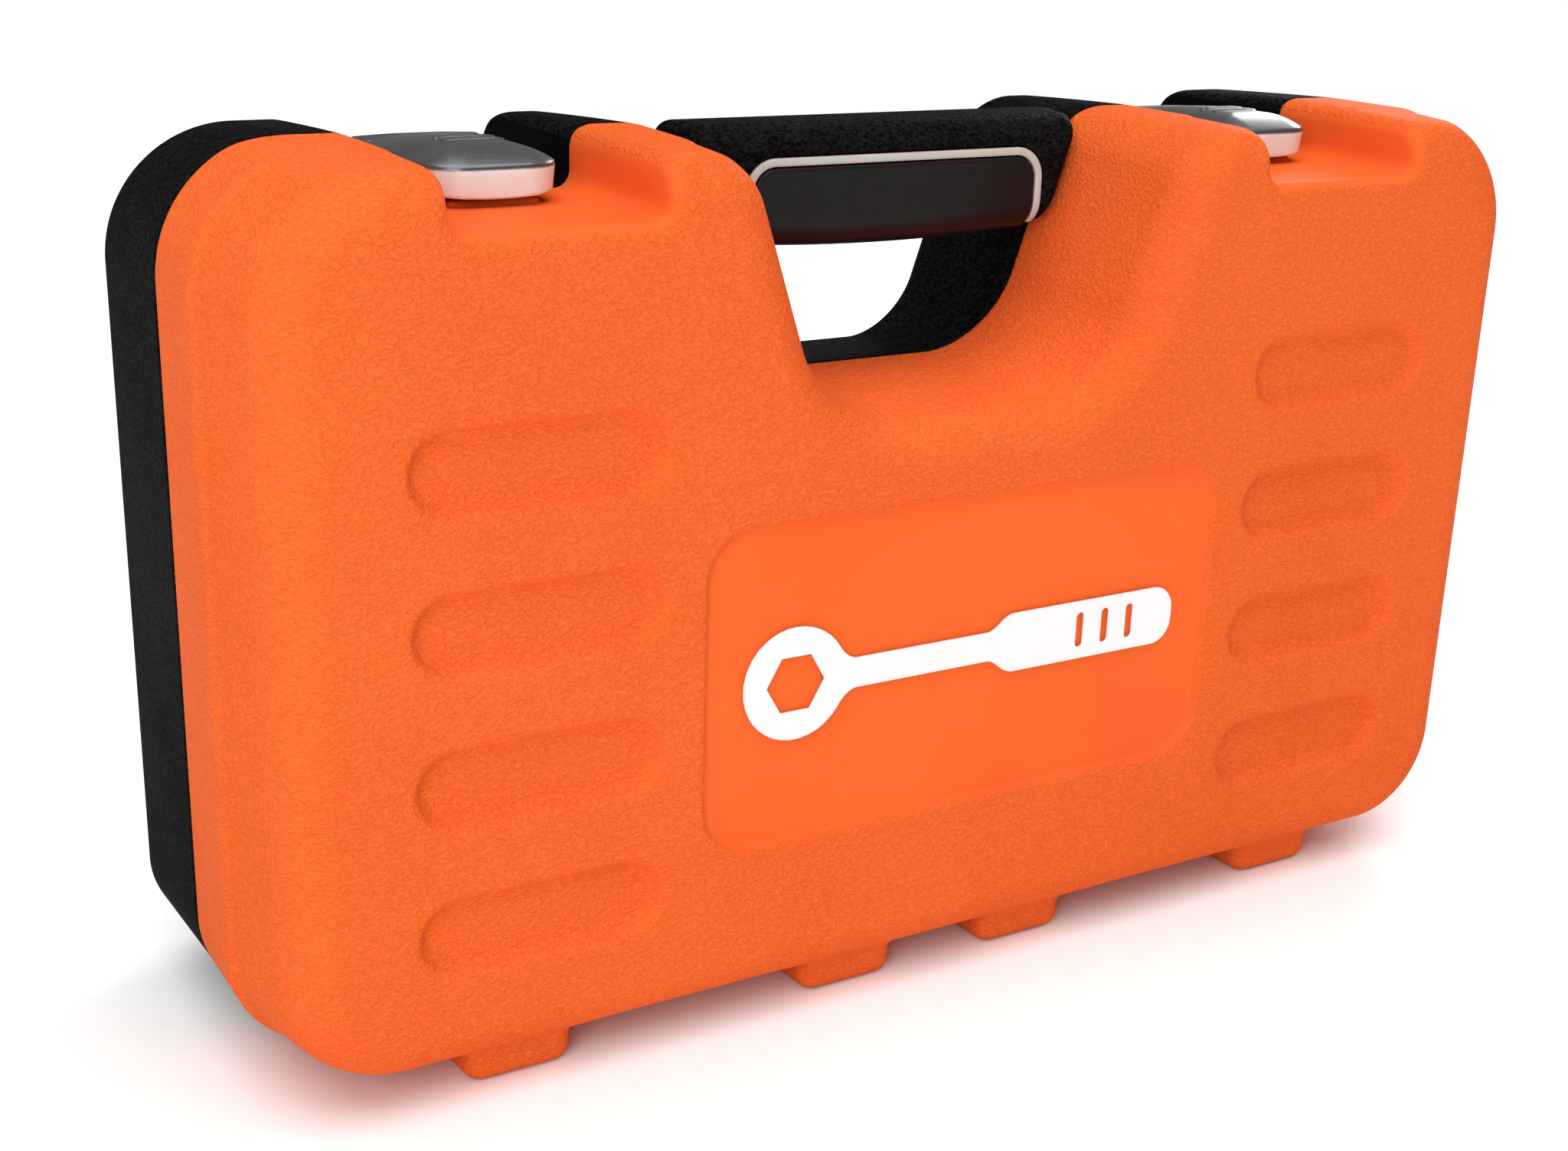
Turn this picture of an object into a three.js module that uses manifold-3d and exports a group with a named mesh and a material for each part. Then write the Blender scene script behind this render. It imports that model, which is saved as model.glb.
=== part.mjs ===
// Socket wrench set in a two-part moulded carrying case, standing upright on its hinge side.
// Millimetres. X runs across the case, -Y is its front, +Z is up. The shells meet at Y = 0.
import * as THREE from "three";
import { mergeVertices } from "three/addons/utils/BufferGeometryUtils.js";
import Module from "manifold-3d";

// ---- driving dimensions ----
const GAP = 0.3; // between neighbouring pieces
const WALL = 3; // shell wall
const FRONT_Y = -61;
const BACK_Y = 61;
const BAND_Y = -28; // the fine step round the front shell
const EDGE_R = 12; // fillet between a shell's sides and its face
const SHELL = {
  halfWidth: 203,
  top: 243,
  bottom: 9.3,
  topR: 35,
  bottomR: 30,
  notchFloor: 171.8,
  notchAtFloor: 43,
  notchAtTop: 66.7,
  notchR: 22,
  hornR: 14,
};
const NOTCH_SLOPE = (SHELL.notchAtTop - SHELL.notchAtFloor) / (SHELL.top - SHELL.notchFloor);
// How far each shell's outline draws in, its notch widens and deepens and its corners sharpen, from
// the seam to the face.
const FRONT_DRAFT = { side: 7, top: 1.3, bottom: 1, wide: 5, deep: 5 };
const BACK_DRAFT = { side: 0.3, top: 4.6, wide: 4, deep: 7.5, lowR: 7, notchR: 5 };
const BAND_STEP = { side: 1.1, top: 0.7, run: 1.5 };
const POCKET = { inner: 95, outer: 151.5, floor: 225.5, r: 5 };
const HINGE = { y: 0, z: 4.4, barrelR: 4.4, pinR: 2, holeR: 2.35, pinFrom: 13, pinTo: 151, bore: 160 };
const LUG_CENTRES = [-133.5, -31, 31, 133.5];
const LUG = { frontY: -53, halfFront: 15, halfBack: 19, r: 4 };
const FOOT = { inner: 55, outer: 111, backY: 40 };
const FOOT_RELIEF = 2.5; // the front shell's edge stands clear of the feet
const ROOT = 5; // how far a lug or a foot reaches up into its shell
const SLOT = { x: 130, half: 33.25, r: 10.2, depth: 3.5, levels: [170.2, 130, 89.7, 49.4] };
const LABEL = { half: 84.3, low: 55.5, high: 146.2, r: 14, depth: 1.8 };
const EMBLEM = { thick: 1.1, z: 101, headX: -57, headR: 16, hexR: 8.5, tailX: 72 };
const LATCH = {
  x: 125,
  half: 18,
  lipY: -27,
  lipZ: 228.4,
  crease: 235.4,
  crown: 240,
  skin: 2.4,
  pivotY: 30,
  pivotZ: 231.2,
  barrelR: 5.2,
  bossR: 3.6,
  bossHalf: 8.5,
  pinR: 1.6,
  pinHalf: 17.6,
  holeR: 2,
};
// The back shell's ears under each latch.
const EAR = { outer: 14, thick: 3.4, r: 3.4, slack: 0.4, room: 4.1 };
const CATCH = { y0: -22.6, y1: -19.6, top: 227.9, half: 12 };
const HANDLE = { low: 207, high: 240.8, front: -14, back: 15, clearance: 1.2, lowR: 11, highR: 8 };
const GRIP = { half: 47, low: 209, high: 230, r: 7, thick: 2, trim: 2.4 };
const TRAY = { plate: 14, rim: 2, skin: 2.2, inset: 3.7, top: 217 };
const LINER_RIB = { levels: [36, 76, 116, 150], halves: [168, 168, 168, 150], halfHeight: 5, proud: 5 };
const TOOL_CLEAR = 0.7; // between a tool and its place in the tray
const TOOL_Y = 17; // middle of the tools that lie flat
const DRIVE = 12.7; // half-inch square drive
const SOCKETS = [
  [32, 42, 42],
  [27, 36, 42],
  [24, 32, 40],
  [22, 30, 40],
  [19, 26, 38],
  [17, 24, 38],
  [15, 22, 38],
  [14, 22, 38],
  [13, 22, 38],
  [12, 22, 38],
  [11, 22, 38],
  [10, 22, 38],
]; // size across flats, outer diameter, length
const SOCKET_ROW = { z: 48, gap: 4.6, front: 2 };
// A socket's neck is measured from its drive end: where it starts, where it ends, and how far the
// hexagon and the square reach.
const SOCKET = { neckR: 11, neckFrom: 16, neckTo: 11, hexStop: 14, squareFrom: 20, chamfer: 1 };
const RACK = { half: 190, low: 22.5, high: 73.5, r: 5, front: 24, back: 46, skin: 2.4, margin: 2.5 };
const RATCHET = {
  headX: -150,
  z: 134,
  headR: 20,
  hollowR: 14.4,
  wheelR: 13.9,
  plateR: 18,
  plateHoleR: 4.4,
  buttonR: 3.2,
  buttonHoleR: 3.6,
  leverR: 9,
  front: 6,
  back: 30,
  square: 13,
  shankR: 7,
  neckR: 8.5,
  gripFrom: 118,
  gripR: 13.5,
  waistR: 12.6,
  tailX: 100,
};
const LONG_BAR = { x0: -184, x1: 66, z: 92 };
const SHORT_BAR = { x0: 92, x1: 167, z: 92 };
const BAR = { r: 6.2, headR: 11, headEnd: 21, taperEnd: 27, collarR: 7.6, square: 13, socket: 15 };
const PLUG_SOCKET = { x0: -172, x1: -102, z: 188, r: 13.5, neckR: 11, hex: 21, hexStop: 14, square: 18 };
const SLEEVE = { from: 24, to: 40, r: 9.6, holeR: 6 };
const JOINT = { x: 128, z: 184, r: 11.5, arm: 35, tilt: 20, reach: 9.4 };
const FORK = { inner: 7.2, outer: 10.3, half: 4.6, round: 5, root: 12, boreR: 2.5 };
const CROSS = { half: 4.6, pinR: 2.1, reach: 10.1 };
const ADAPTER = { x0: 128, x1: 166, z: 134, r: 11, collarR: 8, collarEnd: 26, square: 9.5, socket: 14 };

const COLOUR = {
  orange: 0xf1652c,
  black: 0x191919,
  silver: 0xb9bbbe,
  steel: 0xc9cbcf,
  chrome: 0xdcdde0,
  trim: 0xbdb9b2,
  rubber: 0x141414,
  white: 0xf3ece8,
  tray: 0x26272a,
  foam: 0x2c2d31,
  red: 0xb02a1c,
};

// ---- solids ----
const wasm = await Module();
wasm.setup();

function flipped(triangles) {
  const turned = Uint32Array.from(triangles);
  for (let i = 0; i < turned.length; i += 3) {
    turned[i] = triangles[i + 1];
    turned[i + 1] = triangles[i];
  }
  return turned;
}

// A closed solid with its faces pointing out, whichever way the triangles were listed.
function solid(geometry) {
  const plain = geometry.clone();
  plain.deleteAttribute("normal");
  plain.deleteAttribute("uv");
  const merged = mergeVertices(plain, 1e-4);
  const vertProperties = merged.attributes.position.array;
  const triVerts = Uint32Array.from(merged.index.array);
  const made = new wasm.Manifold(new wasm.Mesh({ numProp: 3, vertProperties, triVerts }));
  if (made.volume() >= 0) return made;
  const turned = flipped(triVerts);
  return new wasm.Manifold(new wasm.Mesh({ numProp: 3, vertProperties, triVerts: turned }));
}

function geometryOf(body) {
  const mesh = body.getMesh();
  const positions = new Float32Array(mesh.numVert * 3);
  for (let i = 0; i < mesh.numVert; i++) {
    positions.set(mesh.vertProperties.subarray(i * mesh.numProp, i * mesh.numProp + 3), i * 3);
  }
  const geometry = new THREE.BufferGeometry();
  geometry.setAttribute("position", new THREE.BufferAttribute(positions, 3));
  geometry.setIndex(new THREE.BufferAttribute(Uint32Array.from(mesh.triVerts), 1));
  geometry.computeVertexNormals();
  return geometry;
}

const union = (first, ...rest) => rest.reduce((a, b) => a.add(b), first);
const cut = (first, ...rest) => rest.reduce((a, b) => a.subtract(b), first);

function box(x0, x1, y0, y1, z0, z1) {
  const geometry = new THREE.BoxGeometry(x1 - x0, y1 - y0, z1 - z0);
  return solid(geometry.translate((x0 + x1) / 2, (y0 + y1) / 2, (z0 + z1) / 2));
}

// Cylinders along X or Y.
function rodX(r, x0, x1, y, z, sides = 16, endR = r) {
  const geometry = new THREE.CylinderGeometry(endR, r, x1 - x0, sides);
  return solid(geometry.rotateZ(-Math.PI / 2).translate((x0 + x1) / 2, y, z));
}

function rodY(r, y0, y1, x, z, sides = 16, turn = 0) {
  const geometry = new THREE.CylinderGeometry(r, r, y1 - y0, sides);
  return solid(geometry.rotateY(turn).translate(x, (y0 + y1) / 2, z));
}

// A cylinder along Z that reaches equally up and down from z.
function rodZ(r, reach, x, y, z, sides = 12) {
  const geometry = new THREE.CylinderGeometry(r, r, reach * 2, sides);
  return solid(geometry.rotateX(Math.PI / 2).translate(x, y, z));
}

// A turned shape along X: profile points are [distance along X, radius].
function turnedX(profile, x, y, z, sides = 16) {
  const points = profile.map(([along, r]) => new THREE.Vector2(r, along));
  const geometry = new THREE.LatheGeometry(points, sides);
  return solid(geometry.rotateZ(-Math.PI / 2).translate(x, y, z));
}

// The outline of a polygon whose corners [x, z, radius] are rounded in equal steps.
function rounded(corners, steps = 4) {
  const points = [];
  corners.forEach(([x, z, r], i) => {
    const here = new THREE.Vector2(x, z);
    const [px, pz] = corners[(i + corners.length - 1) % corners.length];
    const [nx, nz] = corners[(i + 1) % corners.length];
    const back = new THREE.Vector2(px, pz).sub(here).normalize();
    const on = new THREE.Vector2(nx, nz).sub(here).normalize();
    const half = Math.acos(THREE.MathUtils.clamp(back.dot(on), -1, 1)) / 2;
    const middle = back.clone().add(on).normalize();
    const centre = here.clone().addScaledVector(middle, r / Math.sin(half));
    const start = here.clone().addScaledVector(back, r / Math.tan(half)).sub(centre);
    const end = here.clone().addScaledVector(on, r / Math.tan(half)).sub(centre);
    const from = Math.atan2(start.y, start.x);
    const turn = Math.atan2(start.cross(end), start.dot(end));
    for (let k = 0; k <= steps; k++) {
      const angle = from + (turn * k) / steps;
      points.push(new THREE.Vector2(centre.x + r * Math.cos(angle), centre.y + r * Math.sin(angle)));
    }
  });
  return points;
}

// A solid through rings {y, outline}, where every outline has the same number of XZ points.
function loft(rings) {
  const count = rings[0].outline.length;
  const positions = [];
  const index = [];
  rings.forEach(({ y, outline }) => outline.forEach((p) => positions.push(p.x, y, p.y)));
  for (let ring = 0; ring + 1 < rings.length; ring++) {
    for (let i = 0; i < count; i++) {
      const a = ring * count + i;
      const b = ring * count + ((i + 1) % count);
      index.push(a, b, b + count, a, b + count, a + count);
    }
  }
  const last = (rings.length - 1) * count;
  THREE.ShapeUtils.triangulateShape(rings[0].outline, []).forEach(([a, b, c]) => index.push(c, b, a));
  THREE.ShapeUtils.triangulateShape(rings.at(-1).outline, []).forEach(([a, b, c]) => {
    index.push(last + a, last + b, last + c);
  });
  const geometry = new THREE.BufferGeometry();
  geometry.setAttribute("position", new THREE.Float32BufferAttribute(positions, 3));
  geometry.setIndex(index);
  return solid(geometry);
}

const slab = (outline, y0, y1) => loft([{ y: y0, outline }, { y: y1, outline }]);

function rectangle(x0, x1, z0, z1, r, steps = 4) {
  return rounded([[x0, z0, r], [x1, z0, r], [x1, z1, r], [x0, z1, r]], steps);
}

// ---- the case ----
// The draft at a distance from the parting plane.
function frontDraft(depth) {
  const past = Math.max(0, (depth + BAND_Y) / (BAND_Y - FRONT_Y));
  const step = THREE.MathUtils.clamp((depth + BAND_Y) / BAND_STEP.run, 0, 1);
  const share = Math.max(0, depth / -FRONT_Y);
  return {
    side: BAND_STEP.side * step + FRONT_DRAFT.side * past,
    top: BAND_STEP.top * step + FRONT_DRAFT.top * past,
    bottom: FRONT_DRAFT.bottom * past,
    wide: FRONT_DRAFT.wide * share,
    deep: FRONT_DRAFT.deep * share,
    lowR: 0,
    notchR: 0,
  };
}

function backDraft(depth) {
  const share = Math.max(0, depth / BACK_Y);
  const whole = { bottom: 0, ...BACK_DRAFT };
  return Object.fromEntries(Object.entries(whole).map(([name, value]) => [name, value * share]));
}

const draftOf = (dir) => (dir < 0 ? frontDraft : backDraft);

// The shells' outline at a draft, drawn in by inset on every side, the notch included.
function caseOutline(inset, draft, top = SHELL.top, bottom = SHELL.bottom) {
  const side = SHELL.halfWidth - draft.side - inset;
  const high = top - draft.top - inset;
  const low = bottom + draft.bottom + inset;
  const floor = SHELL.notchFloor - draft.deep - inset;
  const lean = 1.05; // a sloping wall's inset along X
  const middle = SHELL.notchAtFloor + draft.wide + inset * lean;
  const wall = (z) => middle + (z - SHELL.notchFloor) * NOTCH_SLOPE;
  const least = 4;
  const topR = Math.max(SHELL.topR - inset, least);
  const bottomR = Math.max(SHELL.bottomR - draft.lowR - inset, least);
  const notchR = SHELL.notchR - draft.notchR + inset;
  const hornR = SHELL.hornR - inset / 2;
  return rounded([
    [-side, low, bottomR],
    [side, low, bottomR],
    [side, high, topR],
    [wall(high), high, hornR],
    [wall(floor), floor, notchR],
    [-wall(floor), floor, notchR],
    [-wall(high), high, hornR],
    [-side, high, topR],
  ]);
}

// A shell's outer rings: dir is -1 for the front and 1 for the back, stations are [depth, inset].
function shellRings(dir, stations) {
  return stations.map(([depth, inset]) => ({
    y: dir * depth,
    outline: caseOutline(inset, draftOf(dir)(depth)),
  }));
}

function filletStations(depth, r) {
  return [0, 30, 60, 90].map((deg) => {
    const turn = THREE.MathUtils.degToRad(deg);
    return [depth - r + r * Math.sin(turn), r * (1 - Math.cos(turn))];
  });
}

const SEAM = 0.2; // each rim's distance from the parting plane
const FRONT_STATIONS = [
  [SEAM, 0],
  [-BAND_Y, 0],
  [-BAND_Y + BAND_STEP.run, 0],
  ...filletStations(-FRONT_Y, EDGE_R),
];
const BACK_STATIONS = [[SEAM, 0], ...filletStations(BACK_Y, EDGE_R)];

function pocketBox(side, y0, y1, grow = 0) {
  const x0 = side * POCKET.inner - side * grow;
  const x1 = side * POCKET.outer + side * grow;
  const [low, high] = [Math.min(x0, x1), Math.max(x0, x1)];
  const outline = rectangle(low, high, POCKET.floor - grow, SHELL.top + 17, POCKET.r);
  return slab(outline, Math.min(y0, y1), Math.max(y0, y1));
}

// A shell's hollow, open at the seam and closed at the face.
function hollow(dir, face) {
  const deep = Math.abs(face) - WALL;
  const straight = 20; // the liner and the tray lie within this depth
  const draft = draftOf(dir);
  const rings = [
    { y: -dir, outline: caseOutline(WALL, draft(0)) },
    { y: dir * straight, outline: caseOutline(WALL + 0.4, draft(straight)) },
    { y: dir * (deep - EDGE_R + WALL), outline: caseOutline(WALL, draft(deep - EDGE_R + WALL)) },
    { y: dir * deep, outline: caseOutline(EDGE_R, draft(deep)) },
  ];
  const pockets = [-1, 1].map((side) => pocketBox(side, FRONT_Y - 5, BACK_Y + 5, WALL));
  return cut(loft(rings), ...pockets);
}

// The relief in the front shell's lower edge, over the feet of the back shell.
function footRelief(side, grow) {
  const middle = (side * (FOOT.inner + FOOT.outer)) / 2;
  const half = (FOOT.outer - FOOT.inner) / 2 + grow;
  const high = SHELL.bottom + FOOT_RELIEF + grow;
  return slab(rectangle(middle - half, middle + half, -5, high, 2, 2), FRONT_Y - 1, 1);
}

// A lug under the front shell, wider towards the hinge, with half of a hinge barrel behind it.
function lug(x) {
  const outline = (half) => rectangle(x - half, x + half, 0, SHELL.bottom + ROOT, LUG.r, 3);
  const block = loft([
    { y: LUG.frontY, outline: outline(LUG.halfFront) },
    { y: -SEAM, outline: outline(LUG.halfBack) },
  ]);
  const clear = box(x - 30, x + 30, -SEAM - 1, 6, SHELL.bottom - 0.5, 30);
  const bar = rodX(HINGE.barrelR, x - LUG.halfBack, x + LUG.halfBack, HINGE.y, HINGE.z, 20);
  return cut(union(block, bar), clear);
}

const hingeHole = () => rodX(HINGE.holeR, -HINGE.bore, HINGE.bore, HINGE.y, HINGE.z, 12);

const slotPlaces = () => [-1, 1].flatMap((side) => SLOT.levels.map((z) => ({ x: side * SLOT.x, z })));

// The bar-shaped recess of one slot in the front (dir -1) or back (dir 1) face.
function slotSlab(dir, x, z, grow, depth) {
  const half = SLOT.half + grow;
  const r = SLOT.r + grow;
  const face = dir < 0 ? FRONT_Y : BACK_Y;
  return slab(rectangle(x - half, x + half, z - r, z + r, r - 0.2, 3), face + dir, face - dir * depth);
}

// A shell's skin with its pockets and slots, open at the seam; kept solids stay out of the hollow.
function makeSkin(dir, face, stations, kept) {
  const pockets = [-1, 1].map((side) => pocketBox(side, dir * 5 + face, -dir * 5));
  const slots = slotPlaces().map(({ x, z }) => slotSlab(dir, x, z, 0, SLOT.depth));
  const behindSlots = slotPlaces().map(({ x, z }) => slotSlab(dir, x, z, WALL, SLOT.depth + WALL));
  const outer = cut(loft(shellRings(dir, stations)), ...pockets, ...slots);
  return cut(outer, cut(hollow(dir, face), ...kept, ...behindSlots));
}

function makeFrontShell() {
  const reliefs = [-1, 1].map((side) => footRelief(side, WALL));
  let shell = makeSkin(-1, FRONT_Y, FRONT_STATIONS, reliefs);
  const label = rectangle(-LABEL.half, LABEL.half, LABEL.low, LABEL.high, LABEL.r);
  shell = cut(shell, footRelief(-1, 0), footRelief(1, 0), slab(label, FRONT_Y - 1, FRONT_Y + LABEL.depth));
  shell = union(shell, ...LUG_CENTRES.map(lug));
  for (const side of [-1, 1]) {
    const x = side * LATCH.x;
    shell = shell.add(box(x - CATCH.half, x + CATCH.half, CATCH.y0, CATCH.y1, POCKET.floor - 1, CATCH.top));
  }
  return cut(shell, hingeHole());
}

function foot(side) {
  const x0 = Math.min(side * FOOT.inner, side * FOOT.outer);
  const x1 = Math.max(side * FOOT.inner, side * FOOT.outer);
  const block = slab(rectangle(x0, x1, 0, SHELL.bottom + ROOT, LUG.r, 3), SEAM, FOOT.backY);
  const bar = rodX(HINGE.barrelR, x0, x1, HINGE.y, HINGE.z, 20);
  return union(block, cut(bar, box(x0 - 1, x1 + 1, -6, 0.5, SHELL.bottom - 0.6, 20)));
}

// A pair of ears that carries a latch's pin.
function latchEars(x) {
  const { pivotY, pivotZ } = LATCH;
  const ear = (x0) => {
    const round = rodX(EAR.r, x0, x0 + EAR.thick, pivotY, pivotZ, 12);
    const base = box(x0, x0 + EAR.thick, pivotY - EAR.r, pivotY + EAR.r, POCKET.floor - 1, pivotZ);
    return union(round, base);
  };
  return union(ear(x - EAR.outer), ear(x + EAR.outer - EAR.thick));
}

function makeBackShell() {
  let shell = makeSkin(1, BACK_Y, BACK_STATIONS, []);
  shell = union(shell, foot(-1), foot(1), latchEars(-LATCH.x), latchEars(LATCH.x));
  const pinHoles = [-1, 1].map((side) => {
    const x = side * LATCH.x;
    return rodX(LATCH.holeR, x - 20, x + 20, LATCH.pivotY, LATCH.pivotZ, 12);
  });
  return cut(shell, hingeHole(), ...pinHoles);
}

function makeEmblem() {
  const y0 = FRONT_Y + LABEL.depth - GAP - EMBLEM.thick;
  const y1 = FRONT_Y + LABEL.depth - GAP;
  const { z, headX, headR, hexR, tailX } = EMBLEM;
  const head = rodY(headR, y0, y1, headX, z, 32);
  const shaft = slab(rectangle(headX + 8, 20, z - 4.5, z + 4.5, 2, 2), y0, y1);
  const grip = slab(rectangle(8, tailX, z - 9, z + 9, 8.5), y0, y1);
  return cut(union(head, shaft, grip), rodY(hexR, y0 - 1, y1 + 1, headX, z, 6));
}

// ---- latches ----
// The latch's side view, from the lip over its crown and the dip to the hinge barrel.
function latchSide(inset) {
  const { lipY, lipZ, crease, crown, pivotY, pivotZ, barrelR } = LATCH;
  const front = lipY + inset;
  const below = inset ? lipZ - 3 : lipZ;
  const top = new THREE.SplineCurve([
    new THREE.Vector2(front, crease),
    new THREE.Vector2(lipY + 7, crown - 0.8 - inset),
    new THREE.Vector2(lipY + 20, crown - inset),
    new THREE.Vector2(pivotY - 20, crown - 1 - inset),
    new THREE.Vector2(pivotY - 10, crown - 3 - inset),
    new THREE.Vector2(pivotY, pivotZ + barrelR - inset),
  ]);
  const points = [new THREE.Vector2(front, below), ...top.getPoints(12)];
  for (let deg = 70; deg >= -90; deg -= 20) {
    const turn = THREE.MathUtils.degToRad(deg);
    const r = barrelR - inset;
    points.push(new THREE.Vector2(pivotY + r * Math.cos(turn), pivotZ + r * Math.sin(turn)));
  }
  points.push(new THREE.Vector2(inset ? pivotY : pivotY - 7, below));
  return points;
}

function prismX(points, x0, x1) {
  const shape = new THREE.Shape(points);
  const geometry = new THREE.ExtrudeGeometry(shape, { depth: x1 - x0, bevelEnabled: false });
  geometry.applyMatrix4(new THREE.Matrix4().set(0, 0, 1, x0, 1, 0, 0, 0, 0, 1, 0, 0, 0, 0, 0, 1));
  return solid(geometry);
}

function makeLatch(x) {
  const { half, skin, pivotY, pivotZ, bossR, bossHalf, holeR } = LATCH;
  const shellBody = prismX(latchSide(0), x - half, x + half);
  const inside = prismX(latchSide(skin), x - half + skin, x + half - skin);
  const boss = rodX(bossR, x - bossHalf, x + bossHalf, pivotY, pivotZ, 16);
  const slots = [x - EAR.outer, x + EAR.outer - EAR.thick].map((x0) => {
    const x1 = x0 + EAR.thick + EAR.slack;
    return box(x0 - EAR.slack, x1, pivotY - 6, pivotY + 9, POCKET.floor - 5, pivotZ + EAR.room);
  });
  const body = cut(union(cut(shellBody, inside), boss), ...slots);
  return cut(body, rodX(holeR, x - half - 1, x + half + 1, pivotY, pivotZ, 12));
}

// ---- handle ----
function handleOutline(inset) {
  const high = HANDLE.high - inset;
  const low = HANDLE.low + inset;
  const half = (z) => SHELL.notchAtFloor + (z - SHELL.notchFloor) * NOTCH_SLOPE - HANDLE.clearance - inset;
  return rounded([
    [-half(low), low, HANDLE.lowR],
    [half(low), low, HANDLE.lowR],
    [half(high), high, HANDLE.highR],
    [-half(high), high, HANDLE.highR],
  ]);
}

function gripOutline(grow) {
  const { half, low, high, r } = GRIP;
  return rectangle(-half - grow, half + grow, low - grow, high + grow, r + grow, 4);
}

function makeHandle() {
  const { front, back } = HANDLE;
  const body = loft([
    { y: front, outline: handleOutline(4) },
    { y: front + 1.2, outline: handleOutline(1.6) },
    { y: front + 4, outline: handleOutline(0) },
    { y: back - 4, outline: handleOutline(0) },
    { y: back - 1.2, outline: handleOutline(1.6) },
    { y: back, outline: handleOutline(4) },
  ]);
  const seat = gripOutline(GRIP.trim + GAP);
  return cut(
    body,
    slab(seat, front - 1, front + GRIP.thick),
    slab(seat, back - GRIP.thick, back + 1),
  );
}

function makeGripPad(front) {
  const y = front ? HANDLE.front : HANDLE.back;
  const into = front ? 1 : -1;
  return loft([
    { y: y - into * 0.3, outline: gripOutline(-2.4) },
    { y: y + into * 0.4, outline: gripOutline(-0.6) },
    { y: y + into * (GRIP.thick - GAP), outline: gripOutline(-0.6) },
  ]);
}

// The light line round the grip pad's top and sides.
function makeGripTrim(front) {
  const y = front ? HANDLE.front : HANDLE.back;
  const into = front ? 1 : -1;
  const y0 = y - into * 0.1;
  const y1 = y + into * (GRIP.thick - GAP);
  const ring = cut(slab(gripOutline(GRIP.trim - 0.6), y0, y1), slab(gripOutline(-0.3), y0 - into, y1 + into));
  return cut(ring, box(-80, 80, -40, 40, GRIP.low - 10, GRIP.low + 5));
}

// ---- inside the case ----
// A pan with its floor facing the other shell: rim and floor are as far from the seam as named.
function pan(dir) {
  const low = SHELL.bottom + FOOT_RELIEF;
  const depth = TRAY.plate + TRAY.skin;
  const draft = draftOf(dir)(depth);
  const edge = caseOutline(TRAY.inset, draft, TRAY.top, low);
  const inner = caseOutline(TRAY.inset + TRAY.skin, draft, TRAY.top, low);
  return cut(slab(edge, dir * TRAY.rim, dir * depth), slab(inner, dir * (TRAY.rim - 1), dir * TRAY.plate));
}

function makeLidLiner() {
  const ribs = LINER_RIB.levels.map((z, i) => {
    const half = LINER_RIB.halves[i];
    const { halfHeight, proud } = LINER_RIB;
    const outline = rectangle(-half, half, z - halfHeight, z + halfHeight, halfHeight - 0.5, 3);
    return slab(outline, -TRAY.plate - 1, -TRAY.plate + proud);
  });
  return union(pan(-1), ...ribs);
}

// The solid of a tool's recess, grown by a distance, from y0 back to its depth.
function recess(parts, grow, y0) {
  const solids = parts.map(({ x0, x1, z, half, depth, round }) => {
    if (round) return rodY(half + grow, y0, depth + grow, x0, z, 24);
    const outline = rectangle(x0 - grow, x1 + grow, z - half - grow, z + half + grow, 0.3 + grow, 2);
    return slab(outline, y0, depth + grow);
  });
  return union(...solids);
}

const barDepth = TOOL_Y + BAR.headR;
const gripDepth = TOOL_Y + RATCHET.gripR;
const jointReach = JOINT.r + JOINT.arm * Math.sin(THREE.MathUtils.degToRad(JOINT.tilt));
const jointDepth = TOOL_Y + JOINT.r;
const WELLS = {
  ratchet: [
    { x0: RATCHET.headX, x1: RATCHET.tailX, z: RATCHET.z, half: RATCHET.gripR, depth: gripDepth },
    { x0: RATCHET.headX, z: RATCHET.z, half: RATCHET.headR, depth: 46, round: true },
  ],
  long_bar: [{ ...LONG_BAR, half: BAR.headR, depth: barDepth }],
  short_bar: [{ ...SHORT_BAR, half: BAR.headR, depth: barDepth }],
  adapter: [{ ...ADAPTER, half: BAR.headR, depth: barDepth }],
  plug_socket: [{ ...PLUG_SOCKET, half: PLUG_SOCKET.r, depth: TOOL_Y + PLUG_SOCKET.r }],
  joint: [
    { x0: JOINT.x - JOINT.arm, x1: JOINT.x, z: JOINT.z, half: JOINT.r, depth: jointDepth },
    { x0: JOINT.x - JOINT.r, x1: JOINT.x + JOINT.arm + 2, z: JOINT.z, half: jointReach, depth: jointDepth },
  ],
};

// The tray's plate, with a window over each well and over the socket rack.
function makeToolTray() {
  const windows = Object.values(WELLS).map((parts) => recess(parts, TOOL_CLEAR, TRAY.plate - 1));
  const { half, low, high, r, margin } = RACK;
  const outline = rectangle(-half + margin, half - margin, low + margin, high - margin, r);
  return cut(pan(1), ...windows, slab(outline, TRAY.plate - 1, RACK.front));
}

// A well behind the tray's plate that holds one tool.
function makeWell(parts) {
  const behind = TRAY.plate + TRAY.skin + GAP;
  return cut(recess(parts, TOOL_CLEAR + TRAY.skin, behind), recess(parts, TOOL_CLEAR, behind - 1));
}

// Each socket's size, outer diameter, length and middle along the row.
function socketRow() {
  let x = -SOCKETS.reduce((sum, [, d]) => sum + d + SOCKET_ROW.gap, -SOCKET_ROW.gap) / 2;
  return SOCKETS.map(([size, diameter, length]) => {
    const middle = x + diameter / 2;
    x += diameter + SOCKET_ROW.gap;
    return { size, diameter, length, x: middle };
  });
}

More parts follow.
